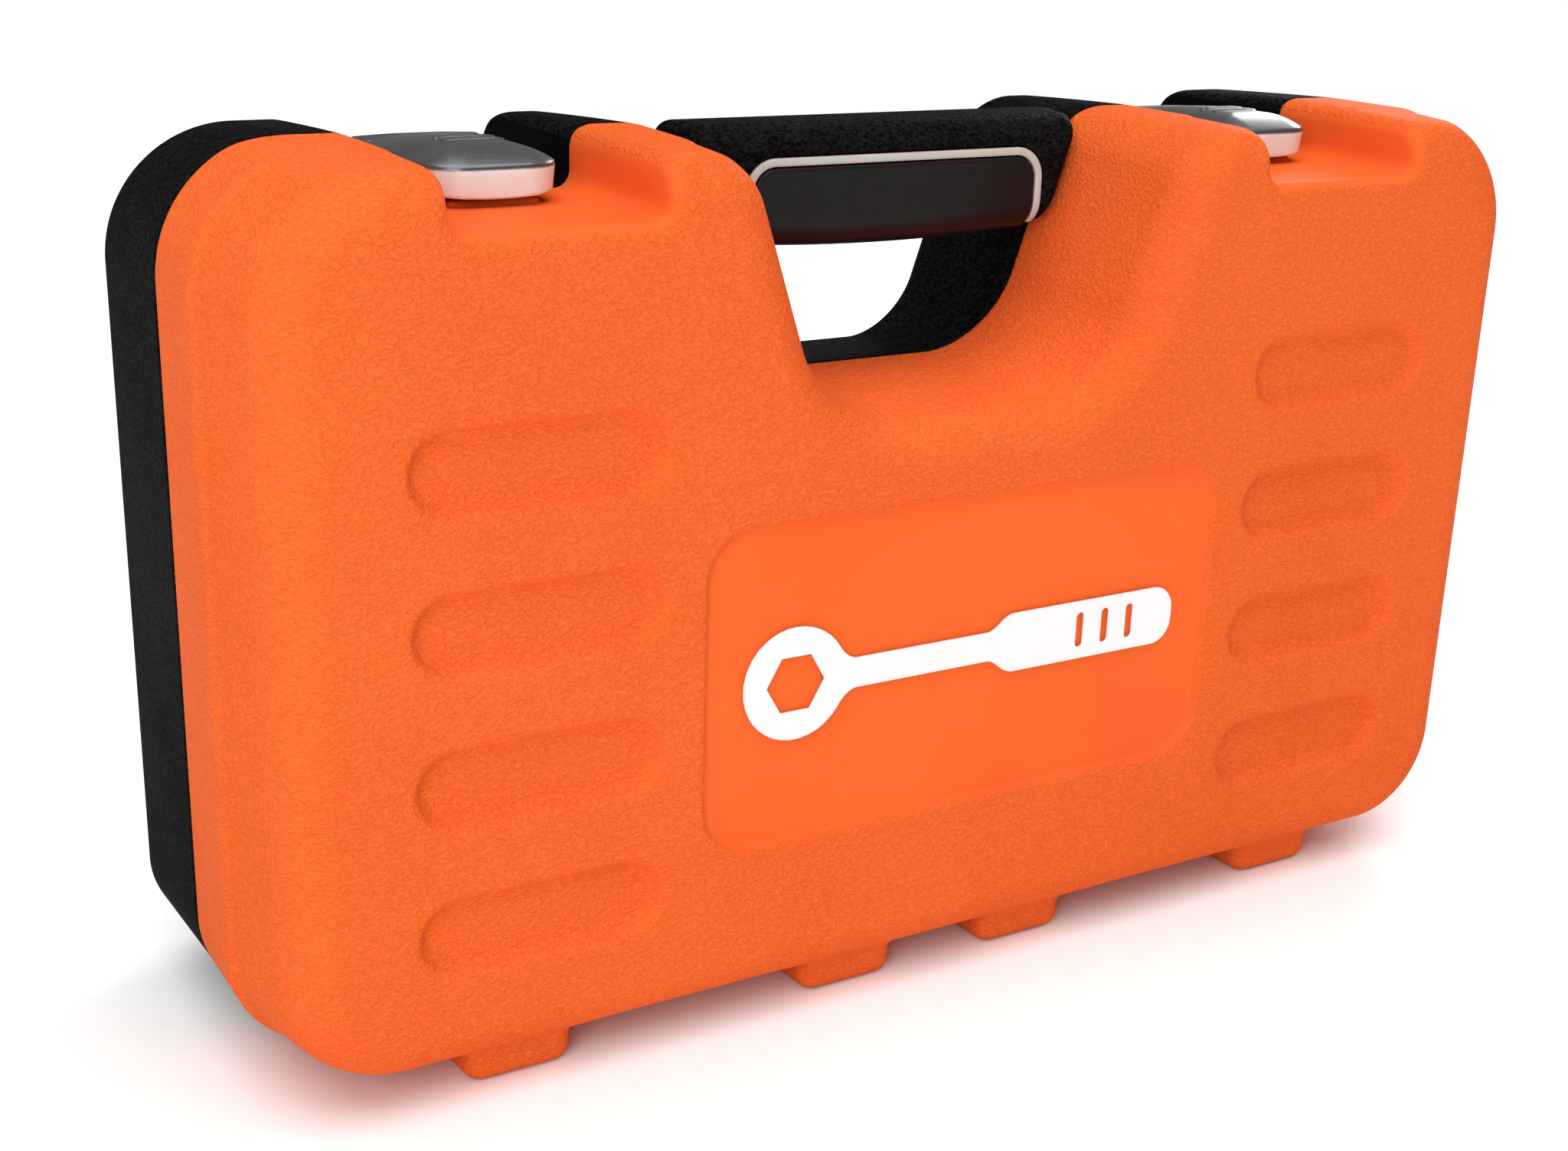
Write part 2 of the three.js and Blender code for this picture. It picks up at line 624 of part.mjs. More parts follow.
// The block that holds the sockets, open at its back.
function makeSocketRack() {
  const { half, low, high, r, front, back, skin } = RACK;
  const outer = slab(rectangle(-half, half, low, high, r), front, back);
  const inner = rectangle(-half + skin, half - skin, low + skin, high - skin, r - skin);
  const holes = socketRow().map(({ diameter, x }) => {
    return rodY(diameter / 2 + TOOL_CLEAR, front - 1, front + skin + 1, x, SOCKET_ROW.z, 20);
  });
  return cut(outer, slab(inner, front + skin, back + 1), ...holes);
}

// ---- tools ----
function squareY(side, y0, y1, x, z) {
  return rodY(side / Math.SQRT2, y0, y1, x, z, 4, Math.PI / 4);
}

function squareX(side, x0, x1, y, z) {
  return box(x0, x1, y - side / 2, y + side / 2, z - side / 2, z + side / 2);
}

function makeSocket({ size, diameter, length, x }) {
  const { front, z } = SOCKET_ROW;
  const r = diameter / 2;
  const { neckR, neckFrom, neckTo, hexStop, squareFrom, chamfer } = SOCKET;
  const neck = Math.min(r, neckR);
  const points = [
    [0, 0],
    [r - chamfer, 0],
    [r, chamfer],
    [r, length - neckFrom],
    [neck, length - neckTo],
    [neck, length - chamfer],
    [neck - chamfer, length],
    [0, length],
  ].map(([radius, along]) => new THREE.Vector2(radius, along));
  const body = solid(new THREE.LatheGeometry(points, 16).translate(x, front, z));
  const hex = rodY(size / Math.sqrt(3), front - 1, front + length - hexStop, x, z, 6, Math.PI / 6);
  return cut(body, hex, squareY(DRIVE + GAP, front + length - squareFrom, front + length + 1, x, z));
}

function makeBar({ x0, x1, z }) {
  const { r, headR, headEnd, taperEnd, collarR, square, socket } = BAR;
  const length = x1 - x0;
  const collarEnd = length - square - 2;
  const body = turnedX(
    [
      [0, 0],
      [0, headR - 1],
      [1, headR],
      [headEnd, headR],
      [taperEnd, r],
      [length - taperEnd, r],
      [length - taperEnd + 3, collarR],
      [collarEnd, collarR],
      [length - square, 0],
    ],
    x0, TOOL_Y, z,
  );
  const drive = squareX(DRIVE - GAP, x1 - square - 3, x1, TOOL_Y, z);
  return cut(union(body, drive), squareX(DRIVE + GAP, x0 - 1, x0 + socket, TOOL_Y, z));
}

function makePlugSocket() {
  const { x0, x1, z, r, neckR, hex, hexStop, square } = PLUG_SOCKET;
  const length = x1 - x0;
  const neckFrom = length - square - 4;
  const body = turnedX(
    [
      [0, 0],
      [0, r - 1],
      [1, r],
      [neckFrom, r],
      [neckFrom + 5, neckR],
      [length - 1, neckR],
      [length, neckR - 1],
      [length, 0],
    ],
    x0, TOOL_Y, z, 20,
  );
  const hexagon = solid(
    new THREE.CylinderGeometry(hex / Math.sqrt(3), hex / Math.sqrt(3), length - hexStop, 6)
      .rotateZ(Math.PI / 2)
      .translate(x0 - 1 + (length - hexStop) / 2, TOOL_Y, z),
  );
  return cut(body, hexagon, squareX(DRIVE + GAP, x1 - square, x1 + 1, TOOL_Y, z));
}

function makePlugSleeve() {
  const { x0, z } = PLUG_SOCKET;
  const { from, to, r, holeR } = SLEEVE;
  const hole = rodX(holeR, x0 + from - 1, x0 + to + 1, TOOL_Y, z, 12);
  return cut(rodX(r, x0 + from, x0 + to, TOOL_Y, z, 16), hole);
}

function makeAdapter() {
  const { x0, x1, z, r, collarR, collarEnd, square, socket } = ADAPTER;
  const profile = [
    [0, 0],
    [0, r - 1],
    [1, r],
    [collarEnd - 8, r],
    [collarEnd - 4, collarR],
    [collarEnd, collarR],
    [collarEnd + 1, 0],
  ];
  const drive = squareX(square, x0 + collarEnd - 2, x1, TOOL_Y, z);
  const body = union(turnedX(profile, x0, TOOL_Y, z), drive);
  return cut(body, squareX(DRIVE + GAP, x0 - 1, x0 + socket, TOOL_Y, z));
}

// Ratchet wrench: a round head on a tapering shank, with its drive square facing the tray.
function makeRatchetBody() {
  const { headX, z, headR, hollowR, front, back, neckR, shankR, gripFrom, tailX } = RATCHET;
  const head = rodY(headR - 0.5, front + 2.5, back, headX, z, 28);
  const start = headX + 6;
  const end = tailX - 8 - start;
  const shank = turnedX(
    [
      [0, 0],
      [0, neckR],
      [18, neckR],
      [34, 7.6],
      [gripFrom, shankR],
      [end, shankR],
      [end, 0],
    ],
    start, TOOL_Y, z,
  );
  return cut(union(head, shank), rodY(hollowR, front + 1, back + 1, headX, z, 24));
}

function makeRatchetGrip() {
  const { headX, z, tailX, gripFrom, gripR, waistR, shankR } = RATCHET;
  const start = headX + gripFrom;
  const length = tailX - start;
  const body = turnedX(
    [
      [0, 0],
      [0, 10],
      [4, 12.5],
      [14, 12.8],
      [length / 2, gripR],
      [length - 16, waistR],
      [length - 5, gripR],
      [length - 1, 11.5],
      [length, 9],
      [length, 0],
    ],
    start, TOOL_Y, z, 20,
  );
  return cut(body, rodX(shankR + GAP, start - 1, tailX - 8 + GAP, TOOL_Y, z, 16));
}

function makeRatchetPlate() {
  const { headX, z, front, plateR, plateHoleR } = RATCHET;
  const plate = rodY(plateR, front + 0.6, front + 2.2, headX, z, 28);
  return cut(plate, rodY(plateHoleR, front, front + 3, headX, z, 16));
}

function makeRatchetAnvil() {
  const { headX, z, front, back, wheelR, square, buttonHoleR } = RATCHET;
  const wheel = rodY(wheelR, front + 2.7, back - 1, headX, z, 24);
  const drive = squareY(DRIVE - GAP, back - 2, back + square, headX, z);
  return cut(union(wheel, drive), rodY(buttonHoleR, front, front + 12, headX, z, 16));
}

function makeRatchetButton() {
  const { headX, z, front, buttonR } = RATCHET;
  return rodY(buttonR, front - 1.6, front + 8, headX, z, 16);
}

function makeRatchetLever() {
  const { headX, z, front, leverR, plateHoleR } = RATCHET;
  const hole = rodY(plateHoleR, front - 3, front + 3, headX, z, 16);
  const ring = cut(rodY(leverR, front - 1.6, front + 0.3, headX, z, 20), hole);
  const tab = slab(rectangle(headX + 7, headX + 17, z - 3.4, z + 3.4, 3, 3), front - 2.8, front + 0.3);
  return union(ring, tab);
}

// Universal joint: two forks and a cross between them. The input fork (side -1) has its arms
// before and behind the cross, and the output fork (side 1) above and below it.
function makeFork(side) {
  const { x, z, r, arm, reach } = JOINT;
  const { inner, outer, half, round, root, boreR } = FORK;
  const hubEnds = [x + side * reach, x + side * arm].sort((a, b) => a - b);
  const armEnds = [x - side * round, x + side * root].sort((a, b) => a - b);
  const hub = rodX(r - 0.4, ...hubEnds, TOOL_Y, z, 20);
  const arms = [-1, 1].map((s) => {
    const across = [s * inner, s * outer].sort((a, b) => a - b);
    return side < 0
      ? box(...armEnds, TOOL_Y + across[0], TOOL_Y + across[1], z - half, z + half)
      : box(...armEnds, TOOL_Y - half, TOOL_Y + half, z + across[0], z + across[1]);
  });
  const bore = side < 0 ? rodY(boreR, TOOL_Y - 20, TOOL_Y + 20, x, z, 12) : rodZ(boreR, 20, x, TOOL_Y, z);
  return cut(union(hub, ...arms), bore);
}

function makeForkIn() {
  const { x, z, arm } = JOINT;
  return cut(makeFork(-1), squareX(DRIVE + GAP, x - arm - 1, x - arm + 14, TOOL_Y, z));
}

function makeForkOut() {
  const { x, z, arm } = JOINT;
  const square = 13; // length of the drive square
  const end = box(x + arm - square, x + arm + 1, TOOL_Y - 20, TOOL_Y + 20, z - 20, z + 20);
  const drive = squareX(DRIVE - GAP, x + arm - square - 1, x + arm, TOOL_Y, z);
  return union(cut(makeFork(1), end), drive);
}

function makeCross() {
  const { x, z } = JOINT;
  const { half, pinR, reach } = CROSS;
  const core = box(x - half, x + half, TOOL_Y - half, TOOL_Y + half, z - half, z + half);
  return union(core, rodY(pinR, TOOL_Y - reach, TOOL_Y + reach, x, z, 12), rodZ(pinR, reach, x, TOOL_Y, z));
}

// ---- the object ----
const object = new THREE.Group();
const materials = {
  orange: { color: COLOUR.orange, roughness: 0.5, metalness: 0 },
  black: { color: COLOUR.black, roughness: 0.6, metalness: 0 },
  silver: { color: COLOUR.silver, roughness: 0.35, metalness: 0.9 },
  steel: { color: COLOUR.steel, roughness: 0.3, metalness: 1 },
  chrome: { color: COLOUR.chrome, roughness: 0.15, metalness: 1 },
  trim: { color: COLOUR.trim, roughness: 0.5, metalness: 0 },
  rubber: { color: COLOUR.rubber, roughness: 0.7, metalness: 0 },
  white: { color: COLOUR.white, roughness: 0.5, metalness: 0 },
  tray: { color: COLOUR.tray, roughness: 0.6, metalness: 0 },
  foam: { color: COLOUR.foam, roughness: 0.9, metalness: 0 },
  red: { color: COLOUR.red, roughness: 0.4, metalness: 0 },
};

function add(name, body, look) {
  const mesh = new THREE.Mesh(geometryOf(body), new THREE.MeshStandardMaterial(materials[look]));
  mesh.name = name;
  object.add(mesh);
}

function addCase() {
  add("front_shell", makeFrontShell(), "orange");
  add("back_shell", makeBackShell(), "black");
  add("label_emblem", makeEmblem(), "white");
  add("lid_liner", makeLidLiner(), "foam");
  add("tool_tray", makeToolTray(), "tray");
  for (const [name, side] of [["left", -1], ["right", 1]]) {
    const x = side * LATCH.x;
    add("latch_" + name, makeLatch(x), "silver");
    const pin = rodX(LATCH.pinR, x - LATCH.pinHalf, x + LATCH.pinHalf, LATCH.pivotY, LATCH.pivotZ, 12);
    add("latch_pin_" + name, pin, "steel");
    const ends = [side * HINGE.pinFrom, side * HINGE.pinTo].sort((a, b) => a - b);
    add("hinge_pin_" + name, rodX(HINGE.pinR, ends[0], ends[1], HINGE.y, HINGE.z, 12), "steel");
  }
  add("handle_core", makeHandle(), "black");
  add("grip_pad_front", makeGripPad(true), "rubber");
  add("grip_pad_back", makeGripPad(false), "rubber");
  add("grip_trim_front", makeGripTrim(true), "trim");
  add("grip_trim_back", makeGripTrim(false), "trim");
}

function addTools() {
  add("socket_rack", makeSocketRack(), "tray");
  for (const [name, parts] of Object.entries(WELLS)) add(name + "_well", makeWell(parts), "tray");
  for (const socket of socketRow()) add("socket_" + socket.size, makeSocket(socket), "chrome");
  add("ratchet_body", makeRatchetBody(), "chrome");
  add("ratchet_grip", makeRatchetGrip(), "rubber");
  add("ratchet_cover_plate", makeRatchetPlate(), "steel");
  add("ratchet_drive", makeRatchetAnvil(), "steel");
  add("ratchet_release_button", makeRatchetButton(), "steel");
  add("ratchet_reversing_lever", makeRatchetLever(), "red");
  add("extension_bar_long", makeBar(LONG_BAR), "chrome");
  add("extension_bar_short", makeBar(SHORT_BAR), "chrome");
  add("spark_plug_socket", makePlugSocket(), "chrome");
  add("spark_plug_sleeve", makePlugSleeve(), "rubber");
  add("drive_adapter", makeAdapter(), "chrome");
  add("universal_joint_input", makeForkIn(), "chrome");
  add("universal_joint_cross", makeCross(), "steel");
  add("universal_joint_output", makeForkOut(), "chrome");
}

addCase();
addTools();

export default object;
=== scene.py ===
# Looks of the socket wrench set in its case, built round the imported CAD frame.
# Lengths inside the shape functions are millimetres; every mesh is written in metres.
import math

import bpy
import numpy as np
from mathutils import Matrix, Vector


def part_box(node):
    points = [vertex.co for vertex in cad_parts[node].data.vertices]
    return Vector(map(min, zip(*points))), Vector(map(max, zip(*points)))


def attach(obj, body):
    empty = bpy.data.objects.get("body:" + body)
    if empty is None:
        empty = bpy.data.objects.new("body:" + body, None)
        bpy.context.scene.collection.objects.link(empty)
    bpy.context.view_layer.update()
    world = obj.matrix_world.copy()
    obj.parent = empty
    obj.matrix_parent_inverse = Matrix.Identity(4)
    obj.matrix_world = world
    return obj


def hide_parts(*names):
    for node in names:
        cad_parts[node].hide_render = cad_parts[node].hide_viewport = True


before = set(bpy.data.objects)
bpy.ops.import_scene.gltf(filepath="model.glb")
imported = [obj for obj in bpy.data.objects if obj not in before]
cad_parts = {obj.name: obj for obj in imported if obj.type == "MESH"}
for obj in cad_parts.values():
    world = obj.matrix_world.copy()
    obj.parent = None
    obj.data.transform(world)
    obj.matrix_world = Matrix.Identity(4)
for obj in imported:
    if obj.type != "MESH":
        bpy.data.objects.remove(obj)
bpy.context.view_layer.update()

MM = 0.001

# ---- places taken from the frame ----
def box_mm(node):
    low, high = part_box(node)
    return np.array(low) / MM, np.array(high) / MM


FRONT_LOW, FRONT_HIGH = box_mm("front_shell")
BACK_LOW, BACK_HIGH = box_mm("back_shell")
HALF_WIDTH = FRONT_HIGH[0]
TOP = FRONT_HIGH[2]
FACE_Y = FRONT_LOW[1]
REAR_Y = BACK_HIGH[1]
SEAM, SEAM_EDGE = 0.2, 0.9  # each rim's distance from the parting plane, and its rounding
WALL = 3.0
BOTTOM = 9.3
TOP_CORNER_R, LOW_CORNER_R, CORNER_SPLIT = 35.0, 30.0, 126.0
BAND_Y, BAND_RUN, BAND_LEAD = -28.0, 2.1, 0.4  # the fine step round the front shell
BAND_SIDE, BAND_TOP = 1.1, 0.7
FRONT_DRAFT_SIDE, FRONT_DRAFT_TOP, FRONT_DRAFT_NOTCH = 7.0, 1.3, 5.0
BOTTOM_SHARE = 0.75  # the front shell's bottom draws in by this share of its top
BACK_DRAFT_SIDE, BACK_DRAFT_TOP = 0.3, 4.6
BACK_NOTCH_WIDER, BACK_NOTCH_DEEPER = 4.0, 7.5
BACK_NOTCH_SHARPER, BACK_CORNER_SHARPER = 5.0, 7.0
EDGE_R = 12.0
DRAFT_LIMIT = 1.2  # the draft is held from this share of the depth on
NOTCH_FLOOR, NOTCH_AT_FLOOR, NOTCH_AT_TOP, NOTCH_RISE = 171.8, 43.0, 66.7, 71.2
NOTCH_SLOPE = (NOTCH_AT_TOP - NOTCH_AT_FLOOR) / NOTCH_RISE
NOTCH_LEAN = math.cos(math.atan(NOTCH_SLOPE))
NOTCH_R = 22.0
HORN_R = 14.0
HINGE_Z, BARREL_R, PIN_HOLE_R = 4.4, 4.4, 2.3
LUG_CENTRES = (-133.5, -31.0, 31.0, 133.5)
LUG_FRONT, LUG_HALF, LUG_FLARE = -53.0, 15.0, 4.0
LUG_R, ROOT_TOP, ROOT_FILLET = 5.0, 24.0, 2.5
POCKET_MID, POCKET_HALF, POCKET_FLOOR = 123.25, 28.25, 225.5
POCKET_R, POCKET_LIP_R, POCKET_EDGE = 4.5, 7.0, 4.0
SLOT_X, SLOT_HALF, SLOT_R, SLOT_DEPTH = 130.0, 33.25, 10.2, 3.4
SLOT_LEVELS = (170.2, 130.0, 89.7, 49.4)
SLOT_BED_R, SLOT_EDGE = 3.2, 2.0
LABEL_HALF, LABEL_LOW, LABEL_HIGH, LABEL_R = 84.3, 55.5, 146.2, 14.0
LABEL_DEPTH, LABEL_BED_R, LABEL_EDGE = 1.8, 0.7, 0.9
FOOT_MID, FOOT_HALF, FOOT_BACK, FOOT_RELIEF = 83.0, 28.0, 40.0, 2.5
RELIEF_R, RELIEF_EDGE = 2.5, 2.0
LATCH_X, LATCH_HALF, LATCH_FRONT, LIP_Z, CREASE_Z = 125.0, 18.0, -27.0, 228.4, 235.4
PIVOT_Y, PIVOT_Z, PIVOT_R = 30.0, 231.2, 5.2
EAR_MID, EAR_HALF, EAR_R = 12.3, 1.7, 3.4
CATCH_Y, CATCH_HALF, CATCH_THICK, CATCH_TOP = -21.1, 12.0, 1.5, 227.1
ROOT_BELOW = 2.0  # how far the catches and ears run down into the pocket floor


# ---- distance fields ----
def round_cut(a, b, r):
    """Where both fields are inside, with the edge rounded to r."""
    return np.minimum(np.maximum(a, b), -r) + np.hypot(np.maximum(a + r, 0), np.maximum(b + r, 0))


def round_join(a, b, r):
    """Where either field is inside, with the inner corner filled to r."""
    return np.maximum(np.minimum(a, b), r) - np.hypot(np.maximum(r - a, 0), np.maximum(r - b, 0))


def rectangle(u, v, half_u, half_v, r):
    qu = np.abs(u) - (half_u - r)
    qv = np.abs(v) - (half_v - r)
    outside = np.hypot(np.maximum(qu, 0), np.maximum(qv, 0))
    return np.minimum(np.maximum(qu, qv), 0) + outside - r


def polygon(u, v, points):
    """Signed distance to a closed polygon, negative inside."""
    best = np.full(np.broadcast(u, v).shape, 1e9)
    sign = np.ones_like(best)
    for (ax, ay), (bx, by) in zip(points, points[-1:] + points[:-1]):
        ex, ey = bx - ax, by - ay
        wx, wy = u - ax, v - ay
        t = np.clip((wx * ex + wy * ey) / (ex * ex + ey * ey), 0, 1)
        best = np.minimum(best, (wx - ex * t) ** 2 + (wy - ey * t) ** 2)
        above, below = v >= ay, v < by
        left = ex * wy > ey * wx
        sign = np.where((above & below & left) | (~above & ~below & ~left), -sign, sign)
    return sign * np.sqrt(best)


def gradient(field, p, step):
    grad = np.empty_like(p)
    for axis in range(3):
        ahead, behind = p.copy(), p.copy()
        ahead[:, axis] += step
        behind[:, axis] -= step
        grad[:, axis] = (field(*ahead.T) - field(*behind.T)) / (2 * step)
    return grad


def net(field, low, high, step):
    """Vertices and quads of the field's zero surface, by surface nets drawn onto the exact surface."""
    axes = [np.arange(a - 1.5 * step, b + 2.5 * step, step) for a, b in zip(low, high)]
    d = field(axes[0][:, None, None], axes[1][None, :, None], axes[2][None, None, :])
    d = np.ascontiguousarray(np.broadcast_to(d, [len(a) for a in axes]))
    inside = d < 0
    corners = [(i, j, k) for i in (0, 1) for j in (0, 1) for k in (0, 1)]
    shape = [n - 1 for n in d.shape]
    count = np.zeros(shape, np.int8)
    for i, j, k in corners:
        count += inside[i:i + shape[0], j:j + shape[1], k:k + shape[2]]
    cells = np.argwhere((count > 0) & (count < 8))
    values = np.stack([d[tuple((cells + c).T)] for c in corners], 1)
    total = np.zeros((len(cells), 3))
    hits = np.zeros(len(cells))
    for a in range(8):
        for b in range(a + 1, 8):
            if bin(a ^ b).count("1") != 1:
                continue
            va, vb = values[:, a], values[:, b]
            crossing = (va < 0) != (vb < 0)
            t = np.where(crossing, va / np.where(crossing, va - vb, 1), 0)
            point = np.array(corners[a]) + t[:, None] * (np.array(corners[b]) - np.array(corners[a]))
            total += np.where(crossing[:, None], point, 0)
            hits += crossing
    local = cells + total / hits[:, None]
    points = np.array([a[0] for a in axes]) + local * step
    for _ in range(2):
        value = field(*points.T)
        slope = gradient(field, points, 0.2 * step)
        move = slope * (value / np.maximum((slope ** 2).sum(1), 0.25))[:, None]
        length = np.linalg.norm(move, axis=1, keepdims=True)
        points -= move * np.minimum(1, 0.6 * step / np.maximum(length, 1e-9))
    ids = np.full(shape, -1, np.int64)
    ids[tuple(cells.T)] = np.arange(len(cells))
    quads = []
    for axis in range(3):
        u, v = (axis + 1) % 3, (axis + 2) % 3
        first = [slice(1, -1)] * 3
        first[axis] = slice(0, -1)
        after = list(first)
        after[axis] = slice(1, None)
        a, b = inside[tuple(first)], inside[tuple(after)]
        for start_inside in (True, False):
            spots = np.argwhere((a != b) & (a == start_inside))
            spots[:, u] += 1
            spots[:, v] += 1
            ring = []
            for du, dv in ((-1, -1), (0, -1), (0, 0), (-1, 0)):
                at = spots.copy()
                at[:, u] += du
                at[:, v] += dv
                ring.append(ids[tuple(at.T)])
            quads.append(np.stack(ring if start_inside else ring[::-1], 1))
    return points, np.concatenate(quads)


def mesh_object(name, points, quads):
    mesh = bpy.data.meshes.new(name)
    mesh.vertices.add(len(points))
    mesh.vertices.foreach_set("co", (points * MM).astype(np.float32).ravel())
    mesh.loops.add(quads.size)
    mesh.loops.foreach_set("vertex_index", quads.astype(np.int32).ravel())
    mesh.polygons.add(len(quads))
    mesh.polygons.foreach_set("loop_start", np.arange(len(quads), dtype=np.int32) * quads.shape[1])
    mesh.polygons.foreach_set("use_smooth", np.ones(len(quads), bool))
    mesh.update(calc_edges=True)
    mesh.validate()
    made = bpy.data.objects.new(name, mesh)
    bpy.context.scene.collection.objects.link(made)
    return made


def mark(made, points, name, field):
    """Stores a 0 to 1 value on each vertex for the material to read."""
    layer = made.data.attributes.new(name, "FLOAT", "POINT")
    layer.data.foreach_set("value", field(*points.T).astype(np.float32))


# ---- the case ----
def case_outline(x, z, half_width, top, bottom, notch_out, floor_drop, notch_r=NOTCH_R,
                 low_r=LOW_CORNER_R):
    """The case from the front: a rounded rectangle with the handle's notch in its top."""
    ax = np.abs(x)
    mid, half = (top + bottom) / 2, (top - bottom) / 2
    r = np.where(z > CORNER_SPLIT, TOP_CORNER_R, low_r)
    qx, qz = ax - (half_width - r), np.abs(z - mid) - (half - r)
    body = np.minimum(np.maximum(qx, qz), 0) + np.hypot(np.maximum(qx, 0), np.maximum(qz, 0)) - r
    wall = (ax - (NOTCH_AT_FLOOR + notch_out + (z - NOTCH_FLOOR) * NOTCH_SLOPE)) * NOTCH_LEAN
    notch = round_cut(wall, NOTCH_FLOOR - floor_drop - z, notch_r)
    return round_cut(body, -notch, HORN_R)


def front_outline(x, y, z):
    depth = np.clip(-y, 0, None)
    past = np.clip((depth + BAND_Y) / (-FACE_Y + BAND_Y), 0, DRAFT_LIMIT)
    step = np.clip((depth + BAND_Y + BAND_LEAD) / BAND_RUN, 0, 1)
    step = step * step * (3 - 2 * step)
    side = BAND_SIDE * step + FRONT_DRAFT_SIDE * past
    up = BAND_TOP * step + FRONT_DRAFT_TOP * past
    notch = FRONT_DRAFT_NOTCH * (depth / -FACE_Y)
    return case_outline(x, z, HALF_WIDTH - side, TOP - up, BOTTOM + BOTTOM_SHARE * up, notch, notch)


def pocket(x, z):
    across = np.abs(np.abs(x) - POCKET_MID) - POCKET_HALF
    hole = round_cut(across, POCKET_FLOOR - z, POCKET_R)
    return round_join(hole, TOP - 0.5 - z, POCKET_LIP_R)


def slots(x, z):
    across = np.maximum(np.abs(np.abs(x) - SLOT_X) - (SLOT_HALF - SLOT_R), 0)
    up = np.min([np.abs(z - level) for level in SLOT_LEVELS], axis=0)
    return np.hypot(across, up) - SLOT_R


def label(x, z):
    middle = (LABEL_HIGH + LABEL_LOW) / 2
    return rectangle(x, z - middle, LABEL_HALF, (LABEL_HIGH - LABEL_LOW) / 2, LABEL_R)


def foot_zone(x, z):
    return rectangle(np.abs(x) - FOOT_MID, z, FOOT_HALF, BOTTOM + FOOT_RELIEF, RELIEF_R)


def front_body(x, y, z):
    body = round_cut(front_outline(x, y, z), FACE_Y - y, EDGE_R)
    body = round_cut(body, -pocket(x, z), POCKET_EDGE)
    slot = round_cut(slots(x, z), y - (FACE_Y + SLOT_DEPTH), SLOT_BED_R)
    body = round_cut(body, -slot, SLOT_EDGE)
    panel = round_cut(label(x, z), y - (FACE_Y + LABEL_DEPTH), LABEL_BED_R)
    body = round_cut(body, -panel, LABEL_EDGE)
    return round_cut(body, -foot_zone(x, z), RELIEF_EDGE)


def lug(x, y, z, centre):
    half = LUG_HALF + LUG_FLARE * np.clip((y - LUG_FRONT) / -LUG_FRONT, 0, 1)
    block = round_cut(np.abs(x - centre) - half, -z, LUG_R)
    block = round_cut(block, LUG_FRONT - y, LUG_R)
    return np.maximum(block, z - ROOT_TOP)


def barrel(x, y, z, centre, half):
    return round_cut(np.hypot(y, z - HINGE_Z) - BARREL_R, np.abs(x - centre) - half, 0.8)


def front_shell(x, y, z):
    body = front_body(x, y, z)
    outer = body
    for centre in LUG_CENTRES:
        outer = round_join(outer, lug(x, y, z, centre), ROOT_FILLET)
    shell = np.maximum(outer, -(body + WALL))
    shell = round_cut(shell, y + SEAM, SEAM_EDGE)
    for centre in LUG_CENTRES:
        shell = np.minimum(shell, barrel(x, y, z, centre, LUG_HALF + LUG_FLARE))
    ridge = rectangle(np.abs(x) - LATCH_X, y - CATCH_Y, CATCH_HALF, CATCH_THICK, 0.8)
    shell = np.minimum(shell, np.maximum(ridge, np.maximum(z - CATCH_TOP, POCKET_FLOOR - ROOT_BELOW - z)))
    return np.maximum(shell, PIN_HOLE_R - np.hypot(y, z - HINGE_Z))


def back_outline(x, y, z):
    depth = np.clip(y / REAR_Y, 0, DRAFT_LIMIT)
    notch_r = NOTCH_R - BACK_NOTCH_SHARPER * depth
    low_r = LOW_CORNER_R - BACK_CORNER_SHARPER * depth
    width, top = HALF_WIDTH - BACK_DRAFT_SIDE * depth, TOP - BACK_DRAFT_TOP * depth
    wider, deeper = BACK_NOTCH_WIDER * depth, BACK_NOTCH_DEEPER * depth
    return case_outline(x, z, width, top, BOTTOM, wider, deeper, notch_r, low_r)


def back_body(x, y, z):
    body = round_cut(back_outline(x, y, z), y - REAR_Y, EDGE_R)
    body = round_cut(body, -pocket(x, z), POCKET_EDGE)
    slot = round_cut(slots(x, z), (REAR_Y - SLOT_DEPTH) - y, SLOT_BED_R)
    return round_cut(body, -slot, SLOT_EDGE)


def ears(x, y, z):
    side = np.abs(np.abs(np.abs(x) - LATCH_X) - EAR_MID) - EAR_HALF
    round_top = np.hypot(y - PIVOT_Y, np.maximum(z - PIVOT_Z, 0)) - EAR_R
    return np.maximum(round_cut(side, round_top, 0.6), POCKET_FLOOR - ROOT_BELOW - z)


def back_shell(x, y, z):
    body = back_body(x, y, z)
    foot = round_cut(np.abs(np.abs(x) - FOOT_MID) - FOOT_HALF, -z, LUG_R)
    foot = round_cut(foot, y - FOOT_BACK, LUG_R)
    foot = np.maximum(foot, z - ROOT_TOP)
    shell = np.maximum(round_join(body, foot, ROOT_FILLET), -(body + WALL))
    shell = round_cut(shell, SEAM - y, SEAM_EDGE)
    shell = np.minimum(shell, ears(x, y, z))
    shell = np.minimum(shell, barrel(np.abs(x), y, z, FOOT_MID, FOOT_HALF))
    return np.maximum(shell, PIN_HOLE_R - np.hypot(y, z - HINGE_Z))


# ---- materials ----
def node_tree(name):
    material = bpy.data.materials.new(name)
    material.use_nodes = True
    tree = material.node_tree
    shader = tree.nodes["Principled BSDF"]
    return material, tree, shader


def link(tree, a, b):
    tree.links.new(a, b)


def noise(tree, where, scale, detail, rough=0.5, distortion=0.0):
    node = tree.nodes.new("ShaderNodeTexNoise")
    node.inputs["Scale"].default_value = scale
    node.inputs["Detail"].default_value = detail
    node.inputs["Roughness"].default_value = rough
    node.inputs["Distortion"].default_value = distortion
    link(tree, where, node.inputs["Vector"])
    return node.outputs["Fac"]


